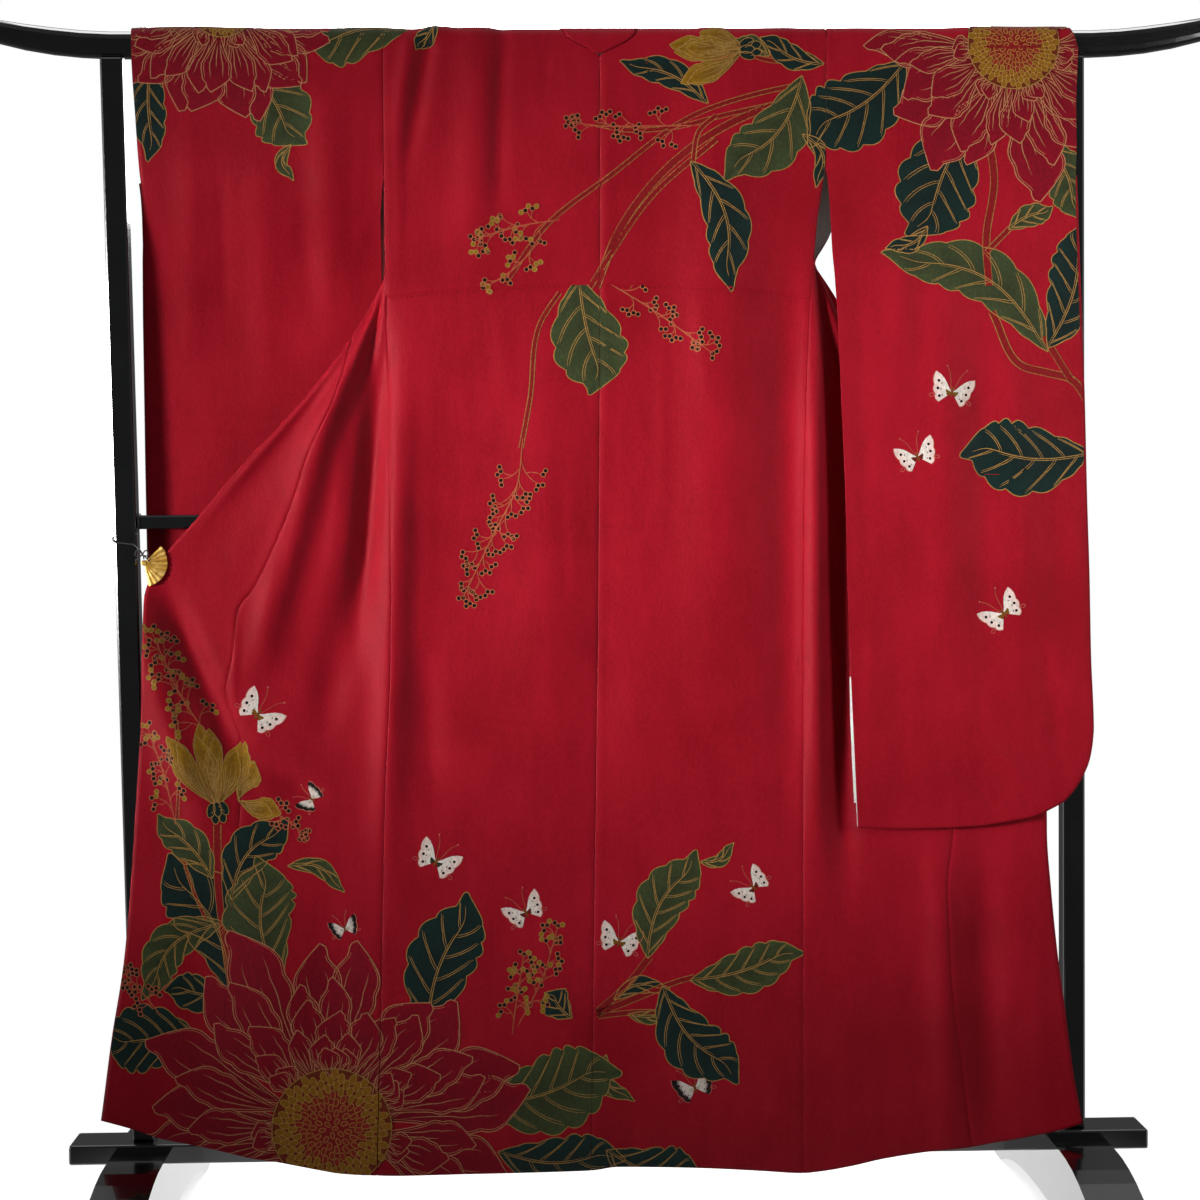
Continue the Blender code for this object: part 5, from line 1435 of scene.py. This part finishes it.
# The pieces.
NEAR = (0.0, -1.0, 0.0)


def mesh_piece(name, patches, materials, facing=None):
    """One object from grids of points, welded where they meet. facing is a direction that
    the first patch's faces look in, on the whole."""
    points = np.concatenate([g.reshape(-1, 3) for g in patches])
    faces, first = [], 0
    for g in patches:
        faces.append(grid_faces(first, *g.shape[:2]))
        first += g.shape[0] * g.shape[1]
    mesh = bpy.data.meshes.new(name)
    mesh.from_pydata(points.tolist(), [], np.concatenate(faces).tolist())
    shape = bmesh.new()
    shape.from_mesh(mesh)
    bmesh.ops.remove_doubles(shape, verts=shape.verts, dist=2e-6)
    bmesh.ops.dissolve_degenerate(shape, edges=shape.edges, dist=1e-6)
    bmesh.ops.recalc_face_normals(shape, faces=shape.faces)
    if facing is not None:
        middle = Vector(patches[0][patches[0].shape[0] // 3, patches[0].shape[1] // 2])
        nearest = min(shape.faces, key=lambda f: (f.calc_center_median() - middle).length)
        if np.dot(nearest.normal, facing) < 0:
            bmesh.ops.reverse_faces(shape, faces=shape.faces)
    shape.to_mesh(mesh)
    shape.free()
    for material in materials:
        mesh.materials.append(material)
    mesh.shade_smooth()
    made = link(name, mesh)
    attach(made, "root")
    return made


def cloth_piece(node, patches, materials=(SILK, LINING), facing=NEAR,
                wall=WALL):
    """A sheet that takes the place of a node. Two materials are its outer and its inner face."""
    made = mesh_piece("silk_" + node, patches, materials, facing)
    solid = made.modifiers.new("Wall", "SOLIDIFY")
    solid.thickness = wall
    solid.offset = 0.0
    solid.use_quality_normals = True
    if len(materials) > 1:
        solid.material_offset = 1
    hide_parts(node)


for side in SIGN:
    cloth_piece("body_" + side, body_patches(side))
    cloth_piece("gore_" + side, gore_patches(side))
    cloth_piece("sleeve_" + side, sleeve_patches(side))
cloth_piece("collar", collar_patches(), [SILK], None, COLLAR_WALL)
cloth_piece(
    "sleeve_lining_right", lining_patches(),
    [LINING], None,
)


def cord_bow(side):
    """Two loops and two ends of the clip's cord, tied over its knob, as round tubes of radius
    0.9 mm. A loop runs long * sin(t) outwards and wide * long * sin(2t) to the side, t from 0
    to pi, and an end runs straight out and falls with the square of its length."""
    place, sign, patches = CLIP[side], SIGN[side], []
    knot = np.array([place["x"] + sign * 0.0014, place["cloth"] - 0.0062, place["z"] + 0.0115])
    t, u = np.linspace(0, math.pi, 19), np.linspace(0, 1, 9)
    for turn, wide, long in ((0.35, 0.44, 0.010), (2.75, 0.44, 0.009)):
        flat = turned((0, 0), long * np.sin(t), wide * long * np.sin(2 * t), turn)
        patches.append(tube(knot + np.stack([sign * flat[:, 0], -0.0012 * np.sin(t), flat[:, 1]], -1)))
    for turn, long in ((-0.5, 0.011), (3.7, 0.012)):
        flat = turned((0, 0), long * u, 0 * u, turn)
        fall = flat[:, 1] - 0.25 * long * u * u
        patches.append(tube(knot + np.stack([sign * flat[:, 0], -0.0010 * np.sin(2 * u), fall], -1)))
    mesh_piece("cord_bow_" + side, patches, [CORD])


def tube(path, radius=0.0009, around=8):
    """A closed tube: a ring round each point, square to the path, and a point at both ends."""
    run = headings(path)
    one = np.cross(run, (0.0, 1.0, 0.0))
    one = one / np.maximum(np.linalg.norm(one, axis=1), 1e-9)[:, None]
    two = np.cross(run, one)
    a = np.linspace(0, 2 * math.pi, around + 1)[None, :, None]
    rings = path[:, None] + radius * (np.cos(a) * one[:, None] + np.sin(a) * two[:, None])
    ends = [np.repeat(path[k][None, None], around + 1, 1) for k in (0, -1)]
    return np.concatenate([ends[0], rings, ends[1]])


cord_bow("left")
pattern()

for name, node in frame["nodes"].items():
    if name.startswith(("post", "foot", "base", "mid", "top")):
        finish = LACQUER
    elif name.startswith("clip_cord"):
        finish = CORD
    elif name.startswith("clip"):
        finish = GILT
    else:
        continue
    node.data.materials.clear()
    node.data.materials.append(finish)

# Camera, floor and light.
CAMERA = {
    "place": (-0.1019, -3.2, 1.0106), "yaw": 0.02857, "down": 0.03108, "roll": -0.0077, "lens": 66.725,
}


def camera():
    """Looks along y, turned right and down and rolled by the angles of CAMERA, in radians."""
    yaw, down, roll = CAMERA["yaw"], CAMERA["down"], CAMERA["roll"]
    forward = np.array([math.sin(yaw) * math.cos(down), math.cos(yaw) * math.cos(down), -math.sin(down)])
    level = np.array([math.cos(yaw), -math.sin(yaw), 0.0])
    above = np.cross(level, forward)
    right = math.cos(roll) * level + math.sin(roll) * above
    up = -math.sin(roll) * level + math.cos(roll) * above
    data = bpy.data.cameras.new("camera")
    data.lens, data.sensor_width = CAMERA["lens"], 36.0
    data.clip_start, data.clip_end = 0.1, 60.0
    made = link("camera", data)
    axes = np.stack([right, up, -forward, CAMERA["place"]], 1)
    made.matrix_world = Matrix(np.vstack([axes, [0, 0, 0, 1]]).tolist())
    bpy.context.scene.camera = made


def soft_light(name, place, aim, size, power, spread=180, gloss_only=False):
    """A soft box, with a grid that keeps its light within the spread, in degrees. One for
    gloss only shows in the lacquer's edges and lights nothing else."""
    data = bpy.data.lights.new(name, "AREA")
    data.shape = "RECTANGLE"
    data.size, data.size_y = size
    data.energy, data.spread = power, math.radians(spread)
    made = link(name, data)
    to = np.array(aim) - np.array(place)
    made.location = place
    made.visible_diffuse, made.visible_camera = not gloss_only, not gloss_only
    made.rotation_mode = "QUATERNION"
    made.rotation_quaternion = Vector(to).to_track_quat("-Z", "Y")


# The floor's radius, and the radii between which it fades, in metres.
FLOOR = {"edge": 1.15, "fades": (1.05, 0.70)}


def floor():
    """A pale round floor that fades out into the white round it."""
    finish = Finish(
        "pale floor", Roughness=0.8, Specular_IOR_Level=0.1,
        Emission_Color=(1.0, 1.0, 1.0, 1.0), Emission_Strength=0.75,
    )
    far = finish.node("ShaderNodeVectorMath", {"operation": "LENGTH"}, finish.place(), out="Value")
    pale = finish.mix(finish.noise(3.0, 2.0), rgba(246, 246, 246), rgba(252, 252, 252))
    mesh = bpy.data.meshes.new("floor")
    turn = np.linspace(0, 2 * math.pi, 65)[:-1]
    ring = np.stack([FLOOR["edge"] * np.cos(turn), FLOOR["edge"] * np.sin(turn), np.full(64, -0.0002)], -1)
    mesh.from_pydata(ring.tolist(), [], [list(range(64))])
    mesh.materials.append(finish.feed(Base_Color=pale, Alpha=far.clip(*FLOOR["fades"])))
    made = link("floor", mesh)
    made.visible_diffuse = False


def world():
    """White where the camera sees it, a dim soft surround for the light, and for a gloss a
    surround that is dark in front and bright at both sides and above."""
    made = bpy.data.worlds.new("studio")
    bpy.context.scene.world = made
    made.use_nodes = True
    sky = Nodes(made.node_tree)
    camera_ray, gloss_ray = (
        sky.node("ShaderNodeLightPath", {}, out="Is %s Ray" % kind) for kind in ("Camera", "Glossy")
    )
    way = sky.node("ShaderNodeTexCoord", {}, out="Generated")
    across, up = (sky.node("ShaderNodeSeparateXYZ", {}, way, out=axis) for axis in "XZ")
    sides = across.maths("ABSOLUTE").maths("MAXIMUM", up).maths("POWER", 6.0) * 2.2
    strength = (gloss_ray * sides + 0.08).maths("MAXIMUM", camera_ray)
    shown = sky.tree.nodes["Background"]
    shown.inputs["Color"].default_value = (1.0, 1.0, 1.0, 1.0)
    sky.tree.links.new(strength.socket, shown.inputs["Strength"])


camera()
floor()
world()
soft_light("key", (-4.2, -2.5, 1.3), (0.18, 0.0, 1.10), (1.0, 1.0), 8.0, 22)
soft_light("fill", (1.7, -1.5, 1.4), (0.55, 0.0, 1.15), (0.4, 1.2), 3.1, 75)
soft_light("back", (0.0, 2.6, 2.4), (0.0, 0.0, 1.0), (2.2, 1.2), 55.0)
soft_light("side_strip", (-3.0, -0.1, 1.0), (0.0, -0.1, 1.0), (0.7, 2.4), 30.0, gloss_only=True)
soft_light("top_strip", (0.0, -0.2, 3.6), (0.0, -0.2, 1.0), (2.6, 0.7), 30.0, gloss_only=True)
bpy.context.scene.view_settings.view_transform = "Standard"
